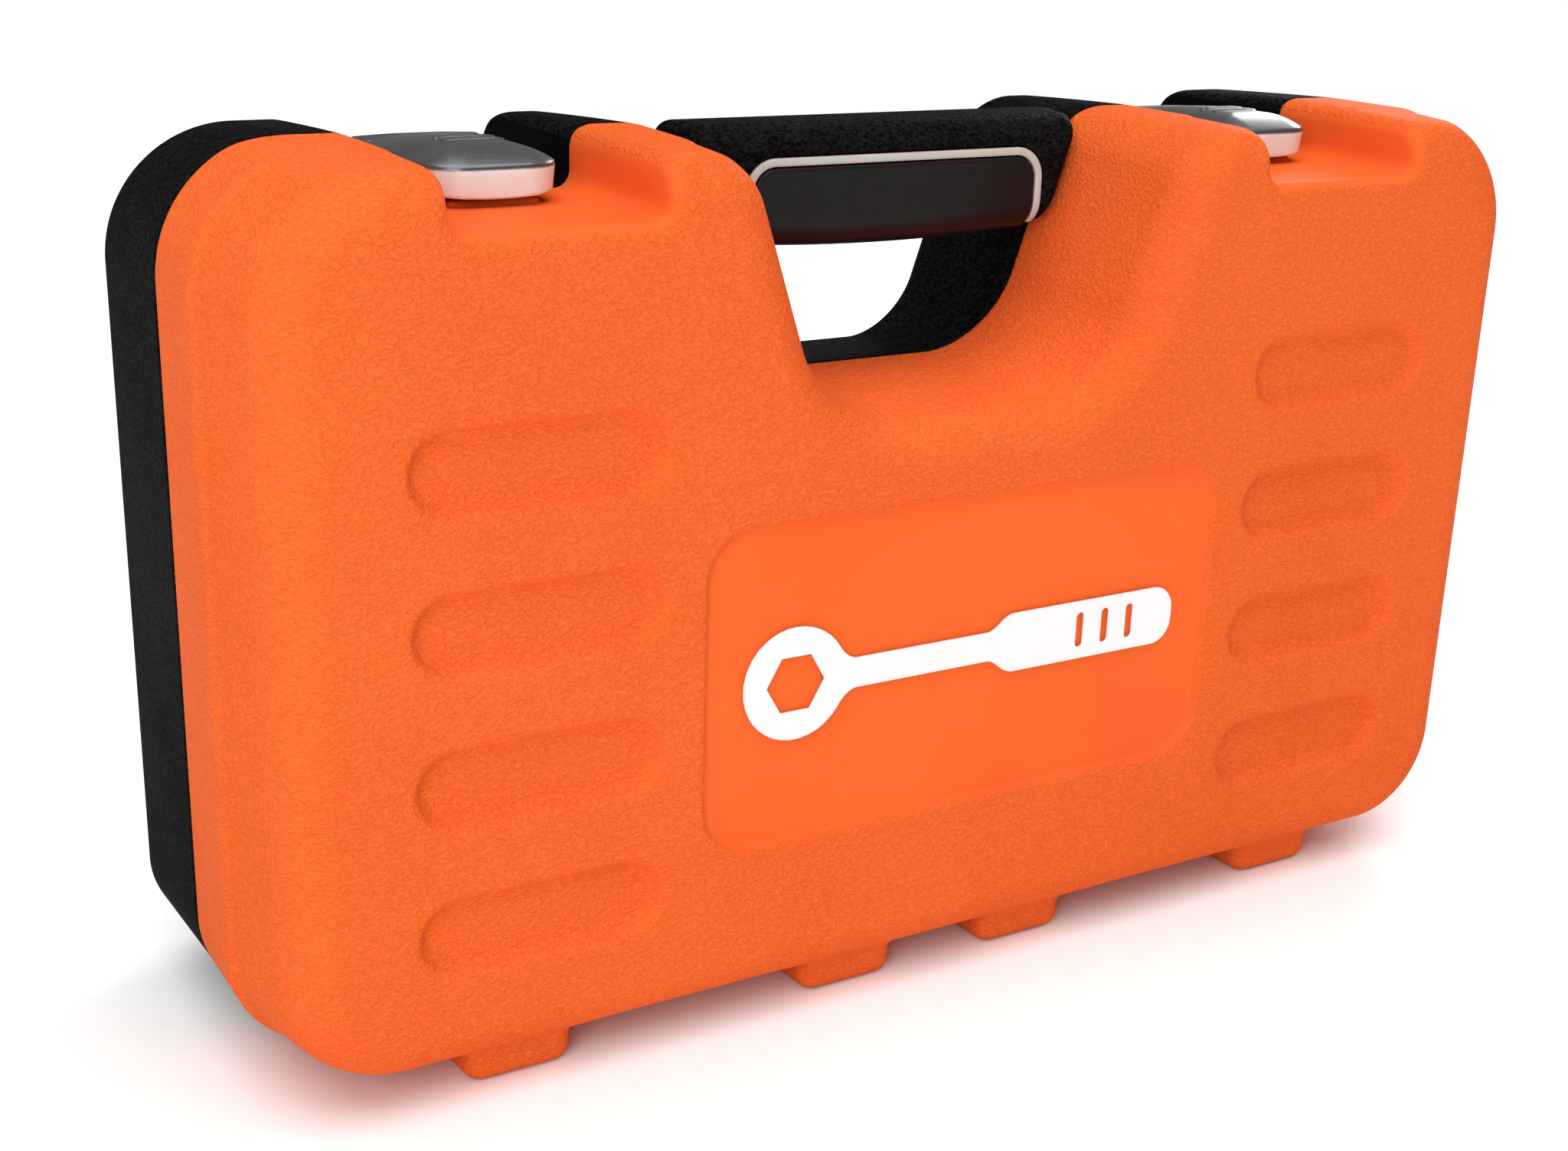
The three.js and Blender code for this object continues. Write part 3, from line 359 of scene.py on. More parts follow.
def math_node(tree, operation, a, b):
    node = tree.nodes.new("ShaderNodeMath")
    node.operation = operation
    for socket, value in zip(node.inputs, (a, b)):
        if isinstance(value, (int, float)):
            socket.default_value = value
        else:
            link(tree, value, socket)
    return node.outputs[0]


def ramp(tree, fac, low, high, out_low, out_high):
    node = tree.nodes.new("ShaderNodeMapRange")
    link(tree, fac, node.inputs["Value"])
    for name, value in zip(("From Min", "From Max", "To Min", "To Max"), (low, high, out_low, out_high)):
        node.inputs[name].default_value = value
    return node.outputs["Result"]


def mix_colours(tree, fac, a, b):
    node = tree.nodes.new("ShaderNodeMix")
    node.data_type = "RGBA"
    link(tree, fac, node.inputs["Factor"])
    for socket, value in ((node.inputs[6], a), (node.inputs[7], b)):
        if isinstance(value, tuple):
            socket.default_value = (*value, 1.0)
        else:
            link(tree, value, socket)
    return node.outputs[2]


def attribute(tree, name):
    node = tree.nodes.new("ShaderNodeAttribute")
    node.attribute_name = name
    return node.outputs["Fac"]


def coordinates(tree, stretch=(1, 1, 1), turn=(0, 0, 0)):
    source = tree.nodes.new("ShaderNodeTexCoord")
    mapping = tree.nodes.new("ShaderNodeMapping")
    mapping.inputs["Scale"].default_value = stretch
    mapping.inputs["Rotation"].default_value = turn
    link(tree, source.outputs["Object"], mapping.inputs["Vector"])
    return mapping.outputs["Vector"]


def bump(tree, shader, height, strength, distance):
    node = tree.nodes.new("ShaderNodeBump")
    node.inputs["Distance"].default_value = distance
    if isinstance(strength, float):
        node.inputs["Strength"].default_value = strength
    else:
        link(tree, strength, node.inputs["Strength"])
    link(tree, height, node.inputs["Height"])
    link(tree, node.outputs["Normal"], shader.inputs["Normal"])


GRAIN_SCALE, FINE_SCALE, CLOUD_SCALE = 740.0, 1700.0, 14.0
GRAIN_DEPTH, GRAIN_WHERE_SMOOTH = 0.0003, 0.03
SMOOTH_TINT = 0.6  # a smooth zone's tint, as a share of the grain's contrast


def moulded(name, colour, darker, roughness, contrast, grain, shine, masked=True):
    """Moulded plastic with a fine leather-like grain, smooth where the smooth attribute is 1."""
    material, tree, shader = node_tree(name)
    where = coordinates(tree, (1.0, 1.0, 1.7), (0.5, 0.35, 0.25))
    wrinkles = ramp(tree, noise(tree, where, GRAIN_SCALE, 2.5, 0.5, 0.7), 0.36, 0.64, 0, 1)
    fine = noise(tree, where, FINE_SCALE, 2.0, 0.5, 0.4)
    height = math_node(tree, "ADD", wrinkles, math_node(tree, "MULTIPLY", fine, 0.5))
    cloud = noise(tree, coordinates(tree), CLOUD_SCALE, 4.0, 0.6)
    # colour by grain height: the hollows take the darker colour as painted shade and the tops the lighter
    # one as painted glints; smooth zones get a flat share of it below
    painted_grain_shade = ramp(tree, height, 0.1, 1.1, contrast, 0.0)
    strength = grain
    if masked:
        plain = attribute(tree, "smooth")
        painted_grain_shade = math_node(tree, "MULTIPLY", painted_grain_shade, ramp(tree, plain, 0.0, 1.0, 1.0, 0.0))
        plain_tint = math_node(tree, "MULTIPLY", plain, contrast * SMOOTH_TINT)
        painted_grain_shade = math_node(tree, "ADD", painted_grain_shade, plain_tint)
        strength = ramp(tree, plain, 0.0, 1.0, grain, GRAIN_WHERE_SMOOTH)
    tint = math_node(tree, "ADD", ramp(tree, cloud, 0.3, 0.7, 0.0, 0.3), painted_grain_shade)
    link(tree, mix_colours(tree, tint, colour, darker), shader.inputs["Base Color"])
    bump(tree, shader, height, strength, GRAIN_DEPTH)
    rough = ramp(tree, cloud, 0.3, 0.7, roughness - 0.04, roughness + 0.05)
    link(tree, rough, shader.inputs["Roughness"])
    shader.inputs["Specular IOR Level"].default_value = shine
    return material


# ---- pieces ----
def piece(name, field, low, high, step, material, body, slot, nodes):
    points, quads = net(field, low, high, step)
    made = mesh_object(name, points, quads)
    made.data.materials.append(material)
    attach(made, body)
    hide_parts(*nodes)
    return made, points


def smooth_zone(x, y, z):
    """1 on the smooth label and latch pockets, 0 on the grained faces."""
    in_label = np.clip(0.5 - label(x, z) / 1.5, 0, 1) * (y < FACE_Y + 6)
    in_pocket = np.clip(0.5 - (pocket(x, z) - 1.2) / 2.0, 0, 1)
    between = (np.abs(np.abs(x) - POCKET_MID) < POCKET_HALF + 3) * (z < TOP - 5)
    return np.clip(in_label + in_pocket * between, 0, 1)


ORANGE = moulded("orange_moulded", (0.90, 0.152, 0.033), (0.71, 0.097, 0.018),
                 roughness=0.40, contrast=0.5, grain=1.0, shine=0.004)
BLACK = moulded("black_moulded", (0.0135, 0.0128, 0.0128), (0.0012, 0.0012, 0.0013),
                roughness=0.5, contrast=1.2, grain=1.0, shine=0.003)
HANDLE_BLACK = moulded("handle_moulded", (0.0135, 0.0122, 0.0124), (0.0018, 0.0018, 0.0018),
                       roughness=0.45, contrast=1.1, grain=0.8, shine=0.006, masked=False)
TRAY_BLACK = moulded("tray_moulded", (0.024, 0.024, 0.026), (0.014, 0.014, 0.015),
                     roughness=0.5, contrast=0.6, grain=0.4, shine=0.2, masked=False)
LINER_GREY = moulded("liner_moulded", (0.036, 0.036, 0.039), (0.020, 0.020, 0.022),
                     roughness=0.7, contrast=0.6, grain=0.5, shine=0.2, masked=False)


def soft_plastic(name, colour, other, roughness, shine=0.25):
    """Smooth plastic or rubber with faint clouding and handling marks."""
    material, tree, shader = node_tree(name)
    where = coordinates(tree)
    cloud = ramp(tree, noise(tree, where, 40.0, 5.0, 0.6), 0.35, 0.7, 0, 1)
    link(tree, mix_colours(tree, cloud, colour, other), shader.inputs["Base Color"])
    marks = noise(tree, coordinates(tree, (1, 1, 6), (0.3, 0.2, 0.6)), 90.0, 6.0, 0.7)
    rough = ramp(tree, marks, 0.3, 0.7, roughness - 0.05, roughness + 0.07)
    link(tree, rough, shader.inputs["Roughness"])
    bump(tree, shader, noise(tree, where, 900.0, 2.0), 0.12, 0.0001)
    shader.inputs["Specular IOR Level"].default_value = shine
    return material


def metal(name, colour, darker, roughness, metallic=1.0, stretch=(1, 1, 1), flake=0.0, painted_band_light=None):
    """Metal with fine machining or lacquer texture, brighter where edges are worn.

    Where the band attribute is 1 it has the given band colour, less metallic and smoother: that colour is a
    painted highlight and painted reflection, set against the main colour.
    """
    material, tree, shader = node_tree(name)
    shader.inputs["Metallic"].default_value = metallic
    cloud = noise(tree, coordinates(tree), 60.0, 4.0, 0.6)
    lines = noise(tree, coordinates(tree, stretch), 700.0, 3.0, 0.6)
    tint = mix_colours(tree, ramp(tree, cloud, 0.35, 0.7, 0, 1), colour, darker)
    rough = ramp(tree, lines, 0.3, 0.7, roughness - 0.04, roughness + 0.06)
    if painted_band_light:
        # the band colour mixed in here is painted light: a painted highlight on the latch's front band
        zone = attribute(tree, "painted_band_light")
        tint = mix_colours(tree, zone, tint, painted_band_light)
        rough = math_node(tree, "MULTIPLY", rough, ramp(tree, zone, 0.0, 1.0, 1.0, 0.8))
        link(tree, ramp(tree, zone, 0.0, 1.0, metallic, 0.2), shader.inputs["Metallic"])
    geometry = tree.nodes.new("ShaderNodeNewGeometry")
    edge = ramp(tree, geometry.outputs["Pointiness"], 0.52, 0.62, 0.0, 0.35)
    worn = tuple(min(1.0, c * 1.35) for c in colour)
    link(tree, mix_colours(tree, edge, tint, worn), shader.inputs["Base Color"])
    link(tree, rough, shader.inputs["Roughness"])
    bump(tree, shader, lines, 0.06 + flake, 0.00006)
    return material


PAD = soft_plastic("grip_pad", (0.0075, 0.0068, 0.0068), (0.0105, 0.0098, 0.0098), 0.36, 0.15)
TRIM = soft_plastic("grip_trim", (0.52, 0.49, 0.45), (0.46, 0.44, 0.40), 0.45)
WHITE = soft_plastic("emblem_white", (0.90, 0.84, 0.84), (0.86, 0.80, 0.80), 0.45)
RUBBER = soft_plastic("tool_rubber", (0.012, 0.012, 0.012), (0.02, 0.02, 0.02), 0.6)
RED = soft_plastic("lever_red", (0.42, 0.02, 0.012), (0.50, 0.03, 0.018), 0.35)
# The latch's dark main colour is painted shade, standing in for the dark surroundings its crown reflects;
# the light band colour is a painted highlight, tinted cyan to offset the orange light bounced from the
# pocket floor.
SILVER = metal("latch_silver", (0.145, 0.145, 0.15), (0.115, 0.115, 0.12), 0.32,
               metallic=0.75, flake=0.2, painted_band_light=(0.78, 0.95, 0.97))
STEEL = metal("pin_steel", (0.48, 0.48, 0.49), (0.40, 0.40, 0.41), 0.34, stretch=(0.15, 1, 1))
CHROME = metal("tool_chrome", (0.63, 0.64, 0.66), (0.58, 0.59, 0.61), 0.16)
SATIN = metal("socket_satin", (0.60, 0.61, 0.63), (0.54, 0.55, 0.57), 0.27, stretch=(1, 0.1, 1))

SHELL_STEP = 1.2
shell, spots = piece("case_front", front_shell, FRONT_LOW, FRONT_HIGH, SHELL_STEP, ORANGE, "lid",
                     "orange_plastic", ["front_shell"])
mark(shell, spots, "smooth", smooth_zone)
shell, spots = piece("case_back", back_shell, BACK_LOW, BACK_HIGH, SHELL_STEP, BLACK, "base",
                     "black_plastic", ["back_shell"])
mark(shell, spots, "smooth", smooth_zone)


# ---- emblem ----
def hexagon(u, v, flats):
    turned = [u * math.cos(a) + v * math.sin(a) for a in (0, math.pi / 3, 2 * math.pi / 3)]
    return np.maximum(np.maximum(np.abs(turned[0]), np.abs(turned[1])), np.abs(turned[2])) - flats / 2


EMBLEM_LOW, EMBLEM_HIGH = box_mm("label_emblem")
EMBLEM_HEAD_R, EMBLEM_HEX = 16.0, 15.5
SHAFT_MID, SHAFT_HALF, SHAFT_THIN = -10.0, 42.0, 4.3
GRIP_LENGTH_HALF, GRIP_THICK = 32.0, 8.8
CUT_FIRST, CUT_PITCH, CUT_HALF, CUT_HALF_HIGH = 16.0, 9.0, 1.3, 5.2


def emblem(x, y, z):
    """A plain wrench with a hexagon in its head and three short bars in its grip."""
    low, high = EMBLEM_LOW, EMBLEM_HIGH
    v = z - (low[2] + high[2]) / 2
    from_head = x - (low[0] + EMBLEM_HEAD_R)
    head = np.hypot(from_head, v) - EMBLEM_HEAD_R
    shaft = rectangle(x - SHAFT_MID, v, SHAFT_HALF, SHAFT_THIN, 2)
    grip = rectangle(x - (high[0] - GRIP_LENGTH_HALF), v, GRIP_LENGTH_HALF, GRIP_THICK, 7)
    shape = round_join(round_join(head, shaft, 4), grip, 3)
    shape = round_cut(shape, -hexagon(v, from_head, EMBLEM_HEX), 0.6)
    for k in range(3):
        at = high[0] - CUT_FIRST - CUT_PITCH * k
        shape = round_cut(shape, -rectangle(x - at, v, CUT_HALF, CUT_HALF_HIGH, 1.2), 0.5)
    return round_cut(shape, np.abs(y - (low[1] + high[1]) / 2) - (high[1] - low[1]) / 2, 0.35)


piece("emblem", emblem, EMBLEM_LOW, EMBLEM_HIGH, 0.55, WHITE, "lid", "white_emblem", ["label_emblem"])

# ---- handle ----
HANDLE_TOP, HANDLE_BOTTOM, HANDLE_SAG = 241.0, 206.6, 2.0
HANDLE_MID_Y, HANDLE_HALF_Y, HANDLE_R, HANDLE_GAP = 0.2, 14.2, 8.5, 1.3
GRIP_HALF, GRIP_TOP, GRIP_R = 46.6, 229.6, 6.5
SUNK_WIDER, SUNK_DEPTH = 2.9, 2.6  # the bed that the pads and trims lie in
GROOVE_AT, GROOVE_HALF, GROOVE_DEPTH = 3.9, 0.5, 0.5
PAD_PROUD, PAD_DEPTH = 0.1, 2.2
TRIM_AT, TRIM_HALF, TRIM_SUNK, TRIM_DEPTH, TRIM_LOW = 1.5, 1.15, 0.05, 2.0, 210.0


def handle_bar(x, y, z):
    """The bar between the notch walls: it clears the front shell's walls and joins the back's."""
    join = np.clip(y - 0.6, 0, 1)
    reach = NOTCH_AT_FLOOR + (z - NOTCH_FLOOR) * NOTCH_SLOPE - HANDLE_GAP + 2 * HANDLE_GAP * join
    wall = (np.abs(x) - reach) * NOTCH_LEAN
    low = HANDLE_BOTTOM + HANDLE_SAG * (x / 50.0) ** 2
    half = (HANDLE_TOP - low) / 2
    qy = np.abs(y - HANDLE_MID_Y) - (HANDLE_HALF_Y - HANDLE_R)
    qz = np.abs(z - (HANDLE_TOP + low) / 2) - (half - HANDLE_R)
    section = np.minimum(np.maximum(qy, qz), 0) + np.hypot(np.maximum(qy, 0), np.maximum(qz, 0))
    return round_cut(section - HANDLE_R, wall, 6.0)


def grip_zone(x, z):
    return round_cut(np.abs(x) - GRIP_HALF, z - GRIP_TOP, GRIP_R)


def handle_core(x, y, z):
    bar = handle_bar(x, y, z)
    sunk = np.maximum(grip_zone(x, z) - SUNK_WIDER, -(bar + SUNK_DEPTH))
    groove = np.abs(grip_zone(x, z) - GROOVE_AT) - GROOVE_HALF
    groove = np.maximum(groove, -(bar + GROOVE_DEPTH))
    return round_cut(round_cut(bar, -sunk, 0.7), -groove, 0.4)


def grip_pad(x, y, z):
    bar = handle_bar(x, y, z)
    skin = np.maximum(bar - PAD_PROUD, -(bar + PAD_DEPTH))
    return round_cut(skin, grip_zone(x, z), 0.9)


def grip_trim(x, y, z):
    bar = handle_bar(x, y, z)
    skin = np.maximum(bar + TRIM_SUNK, -(bar + TRIM_DEPTH))
    ring = np.abs(grip_zone(x, z) - TRIM_AT) - TRIM_HALF
    return np.maximum(round_cut(skin, ring, 0.5), TRIM_LOW - z)


HANDLE_LOW, HANDLE_HIGH = box_mm("handle_core")
piece("carry_handle", handle_core, HANDLE_LOW - 3, HANDLE_HIGH + 3, 0.9, HANDLE_BLACK, "base",
      "handle_plastic", ["handle_core"])


def half_of(field, sign):
    return lambda x, y, z: round_cut(field(x, y, z), sign * (y - HANDLE_MID_Y) + 0.1, 0.3)


GRIP_LOW, GRIP_HIGH, PAST_MIDDLE = (-50.0, -16.0, 204.0), (50.0, 17.0, 236.0), 1.0
for where, sign in (("front", 1), ("back", -1)):
    low, high = np.array(GRIP_LOW), np.array(GRIP_HIGH)
    if sign > 0:
        high[1] = PAST_MIDDLE
    else:
        low[1] = -PAST_MIDDLE
    piece("pad_" + where, half_of(grip_pad, sign), low, high, 0.8, PAD, "base", "grip_rubber",
          ["grip_pad_" + where])
    piece("trim_" + where, half_of(grip_trim, sign), low, high, 0.45, TRIM, "base", "trim_plastic",
          ["grip_trim_" + where])

# ---- latches ----
LATCH_CORNER_R, DOME_RUN, DOME_RISE, DOME_FALL = 10.5, 15.0, 4.6, 3.2
LATCH_SKIN, BOSS_R, BOSS_HALF, PIN_BORE_R = 2.2, 3.6, 8.5, 2.0
RUN_ON, BOW, BOW_HALF, LATCH_TAPER = 20.0, 0.9, 14.0, 0.10
DOME_LEVEL = 0.9  # evens out the distance to the sloping dome
RIDGE_Y, RIDGE_APART, RIDGE_THICK, RIDGE_HALF, RIDGE_RISE = -6.0, 3.0, 0.8, 8.0, 0.5
HOLLOW_HALF, EAR_GAP, EAR_SLOT_FRONT, EAR_SLOT_TOP = 15.4, 0.4, 24.0, 4.1
LIP_BOW, LIP_BOW_HALF = 0.9, 17.0


def latch_plan(x, y):
    """The latch from above, running on behind its pivot, with a slightly bowed front."""
    u = np.abs(x) - LATCH_X
    end = PIVOT_Y + RUN_ON
    middle, half = (end + LATCH_FRONT) / 2, (end - LATCH_FRONT) / 2
    plan = rectangle(u, y - middle, LATCH_HALF, half, LATCH_CORNER_R)
    return plan - BOW * np.exp(-(u / BOW_HALF) ** 2) * (y < 0)


def latch_crown(x, y):
    """The height of the domed top, which flattens towards the pivot."""
    rise = 1 - np.clip(-latch_plan(x, y) / DOME_RUN, 0, 1)
    crease = CREASE_Z - 0.6 * np.clip((y - LATCH_FRONT) / (PIVOT_Y - LATCH_FRONT), 0, 1)
    back = np.clip((y + 5.0) / 35.0, 0, 1)
    return crease + (DOME_RISE - DOME_FALL * back ** 2) * (1 - rise ** 2.0)


def latch(x, y, z):
    u = np.abs(x) - LATCH_X
    plan = latch_plan(x, y)
    crown = latch_crown(x, y)
    taper = (z - LIP_Z) * LATCH_TAPER
    outer = round_cut(plan + 1.0 - taper, (z - crown) * DOME_LEVEL, 0.8)
    outer = np.maximum(outer, y - PIVOT_Y)
    ridges = np.abs(np.abs(y - RIDGE_Y) - RIDGE_APART) - RIDGE_THICK
    ridges = np.maximum(ridges, np.abs(u) - RIDGE_HALF)
    ridges = np.maximum(ridges, (z - crown - RIDGE_RISE) * DOME_LEVEL)
    outer = round_join(outer, ridges, 0.4)
    from_pin = np.hypot(y - PIVOT_Y, z - PIVOT_Z)
    outer = round_join(outer, round_cut(from_pin - PIVOT_R, np.abs(u) - LATCH_HALF, 1.5), 2.0)
    inner = np.maximum(plan + LATCH_SKIN + 1.0, (z - crown + LATCH_SKIN) * DOME_LEVEL)
    inner = np.minimum(inner, np.maximum(from_pin - BOSS_R, np.abs(u) - HOLLOW_HALF))
    boss = np.maximum(from_pin - BOSS_R, np.abs(u) - BOSS_HALF)
    made = np.minimum(round_cut(outer, -inner, 0.6), boss)
    ear_slots = np.abs(np.abs(u) - EAR_MID) - EAR_HALF - EAR_GAP
    ear_slots = np.maximum(ear_slots, EAR_SLOT_FRONT - y)
    ear_slots = np.maximum(ear_slots, z - (PIVOT_Z + EAR_SLOT_TOP))
    made = np.maximum(np.maximum(made, -ear_slots), PIN_BORE_R - from_pin)
    lip = LIP_Z - LIP_BOW * np.clip(1 - (u / LIP_BOW_HALF) ** 2, 0, 1)
    return round_cut(made, np.where(y < 10, lip, PIVOT_Z - PIVOT_R) - z, 0.6)


def painted_band_light_zone(x, y, z):
    """1 on the band below the crease, coloured lighter as a painted highlight, 0 on the crown, coloured
    darker as painted shade.
    """
    below = np.clip((latch_crown(x, y) - 0.7 - z) / 0.5, 0, 1)
    return below * np.clip(0.5 + (latch_plan(x, y) + 2.2) / 0.5, 0, 1) * (y < PIVOT_Y - 5)


for where in ("left", "right"):
    low, high = box_mm("latch_" + where)
    made, spots = piece("lift_latch_" + where, latch, low, high + (0, 0, 1), 0.6, SILVER,
                        "latch_" + where, "latch_metal", ["latch_" + where])
    # stores where the latch's painted highlight band lies
    mark(made, spots, "painted_band_light", painted_band_light_zone)

# ---- inside the case ----
PLATE, SKIN, RIM, PAN_INSET, PAN_TOP = 14.0, 2.2, 2.0, 3.7, 217.0
CLEAR, TOOL_Y = 0.7, 17.0
ROW_Z, ROW_Y, SOCKET_GAP = 48.0, 2.0, 4.6
# size across flats, outer diameter and length of each socket
SOCKETS = ((32, 42, 42), (27, 36, 42), (24, 32, 40), (22, 30, 40), (19, 26, 38), (17, 24, 38),
           (15, 22, 38), (14, 22, 38), (13, 22, 38), (12, 22, 38), (11, 22, 38), (10, 22, 38))
# where each straight tool starts and ends along X, and its height
LONG_BAR, SHORT_BAR = (-184.0, 66.0, 92.0), (92.0, 167.0, 92.0)
ADAPTER, PLUG = (128.0, 166.0, 134.0), (-172.0, -102.0, 188.0)
BAR_R, PLUG_R = 11.0, 13.5
JOINT_X, JOINT_Z, JOINT_R, JOINT_ARM, JOINT_SWING = 128.0, 184.0, 11.5, 35.0, 23.4
HEAD_X, HEAD_Z, HEAD_R, HEAD_DEPTH = -150.0, 134.0, 20.0, 46.0
WRENCH_END, WRENCH_GRIP_R = 100.0, 13.5
RACK_HALF, RACK_LOW, RACK_HIGH, RACK_FRONT, RACK_BACK = 190.0, 22.5, 73.5, 24.0, 46.0
RACK_MID, RACK_HALF_HIGH = (RACK_LOW + RACK_HIGH) / 2, (RACK_HIGH - RACK_LOW) / 2
RACK_R, RACK_SKIN, RACK_MARGIN = 5.0, 2.4, 2.5
RIB_PLACES = ((36, 168), (76, 168), (116, 168), (150, 150))  # height and half length
RIB_HALF, RIB_PROUD = 5.0, 5.0


def bar_recess(x0, x1, z0, half):
    """The outline of a straight recess, a clearance larger than its tool."""
    def shape(x, z):
        return rectangle(x - (x0 + x1) / 2, z - z0, (x1 - x0) / 2 + CLEAR, half + CLEAR, 2.5)
    return shape


def either(*shapes):
    return lambda x, z: np.minimum.reduce([shape(x, z) for shape in shapes])


def head_recess(x, z):
    return np.hypot(x - HEAD_X, z - HEAD_Z) - HEAD_R - CLEAR


WRENCH_RECESS = bar_recess(HEAD_X, WRENCH_END, HEAD_Z, WRENCH_GRIP_R)
JOINT_FIXED = bar_recess(JOINT_X - JOINT_ARM, JOINT_X, JOINT_Z, JOINT_R)
JOINT_FREE = bar_recess(JOINT_X - JOINT_R, JOINT_X + JOINT_ARM + 2, JOINT_Z, JOINT_SWING)
# the outline and the depth of each well
WELLS = {
    "ratchet": (either(WRENCH_RECESS, head_recess), HEAD_DEPTH),
    "long_bar": (bar_recess(*LONG_BAR, BAR_R), TOOL_Y + BAR_R),
    "short_bar": (bar_recess(*SHORT_BAR, BAR_R), TOOL_Y + BAR_R),
    "adapter": (bar_recess(*ADAPTER, BAR_R), TOOL_Y + BAR_R),
    "plug_socket": (bar_recess(*PLUG, PLUG_R), TOOL_Y + PLUG_R),
    "joint": (either(JOINT_FIXED, JOINT_FREE), TOOL_Y + JOINT_R),
}


def tray_edge(x, z):
    low = BOTTOM + FOOT_RELIEF
    return case_outline(x, z, HALF_WIDTH - 0.1, PAN_TOP - 1.2, low, 1.1, 2.0) + PAN_INSET


def liner_edge(x, z):
    return case_outline(x, z, HALF_WIDTH, PAN_TOP, BOTTOM + FOOT_RELIEF, 1.3, 1.3) + PAN_INSET


def rack_window(x, z):
    return rectangle(x, z - RACK_MID, RACK_HALF - RACK_MARGIN, RACK_HALF_HIGH - RACK_MARGIN, RACK_R)


def pan(edge, deep):
    """A shallow pan: deep is the distance from the parting plane."""
    plate = round_cut(edge, np.maximum(PLATE - deep, deep - PLATE - SKIN), 0.5)
    rim = round_cut(np.abs(edge + SKIN / 2) - SKIN / 2, np.maximum(RIM - deep, deep - PLATE - SKIN), 0.6)
    return round_join(plate, rim, 1.2)


def tool_tray(x, y, z):
    tray = pan(tray_edge(x, z), y)
    openings = either(rack_window, *[shape for shape, _ in WELLS.values()])(x, z)
    bead = round_cut(np.abs(openings - 1.6) - 1.2, np.abs(y - PLATE) - 1.1, 0.9)
    tray = round_join(tray, np.maximum(bead, tray_edge(x, z) + 1.0), 0.6)
    return round_cut(tray, -openings, 0.6)


def lid_liner(x, y, z):
    deep = -y
    made = pan(liner_edge(x, z), deep)
    for level, half in RIB_PLACES:
        outline = rectangle(x, z - level, half, RIB_HALF, RIB_HALF - 0.2)
        rib = round_cut(outline, np.maximum(PLATE - RIB_PROUD - deep, deep - PLATE - 1.0), 2.5)
        made = round_join(made, rib, 2.0)
    return made


def socket_places():
    """Each socket's size, radius, length and place along the row."""
    x = -(sum(d for _, d, _ in SOCKETS) + SOCKET_GAP * (len(SOCKETS) - 1)) / 2
    places = []
    for size, diameter, length in SOCKETS:
        places.append((size, diameter / 2, length, x + diameter / 2))
        x += diameter + SOCKET_GAP
    return places


def socket_rack(x, y, z):
    v = z - RACK_MID
    outline = rectangle(x, v, RACK_HALF, RACK_HALF_HIGH, RACK_R)
    block = round_cut(outline, np.maximum(RACK_FRONT - y, y - RACK_BACK), 1.2)
    inside = rectangle(x, v, RACK_HALF - RACK_SKIN, RACK_HALF_HIGH - RACK_SKIN, 3)
    made = round_cut(block, -np.maximum(inside, RACK_FRONT + RACK_SKIN - y), 0.6)
    rings = [np.hypot(x - at, z - ROW_Z) - r - CLEAR for _, r, _, at in socket_places()]
    holes = np.minimum.reduce(rings)
    return round_cut(made, -np.maximum(holes, y - RACK_BACK - 1), 0.8)


def well(shape, depth):
    def field(x, y, z):
        hole = shape(x, z)
        front = PLATE + SKIN + 0.3
        block = round_cut(hole - SKIN, np.maximum(front - y, y - depth - CLEAR - SKIN), 1.5)
        return round_cut(block, -round_cut(hole, y - depth - CLEAR, 2.5), 0.5)
    return field


piece("tray", tool_tray, *box_mm("tool_tray"), 1.1, TRAY_BLACK, "base", "tray_plastic", ["tool_tray"])
piece("liner", lid_liner, *box_mm("lid_liner"), 1.5, LINER_GREY, "lid", "liner_plastic", ["lid_liner"])
piece("rack", socket_rack, *box_mm("socket_rack"), 1.1, TRAY_BLACK, "base", "tray_plastic", ["socket_rack"])
for name, (shape, depth) in WELLS.items():
    node = name + "_well"
    piece("moulded_" + node, well(shape, depth), *box_mm(node), 1.4, TRAY_BLACK, "base",
          "tray_plastic", [node])


# ---- pins ----
HINGE_PIN_ENDS, HINGE_PIN_R = (13.0, 151.0), 2.0
LATCH_PIN_HALF, LATCH_PIN_R = 17.6, 1.6


def pin(x0, x1, y0, z0, r):
    def field(x, y, z):
        return round_cut(np.hypot(y - y0, z - z0) - r, np.abs(x - (x0 + x1) / 2) - (x1 - x0) / 2, 0.5)
    return field


for side, where in ((-1, "left"), (1, "right")):
    x0, x1 = sorted(side * end for end in HINGE_PIN_ENDS)
    rod = pin(x0, x1, 0, HINGE_Z, HINGE_PIN_R)
    piece("hinge_rod_" + where, rod, *box_mm("hinge_pin_" + where), 0.6, STEEL, "base",
          "pin_steel", ["hinge_pin_" + where])
    x0, x1 = side * LATCH_X - LATCH_PIN_HALF, side * LATCH_X + LATCH_PIN_HALF
    rod = pin(x0, x1, PIVOT_Y, PIVOT_Z, LATCH_PIN_R)
    piece("latch_rod_" + where, rod, *box_mm("latch_pin_" + where), 0.5, STEEL, "base",
          "pin_steel", ["latch_pin_" + where])


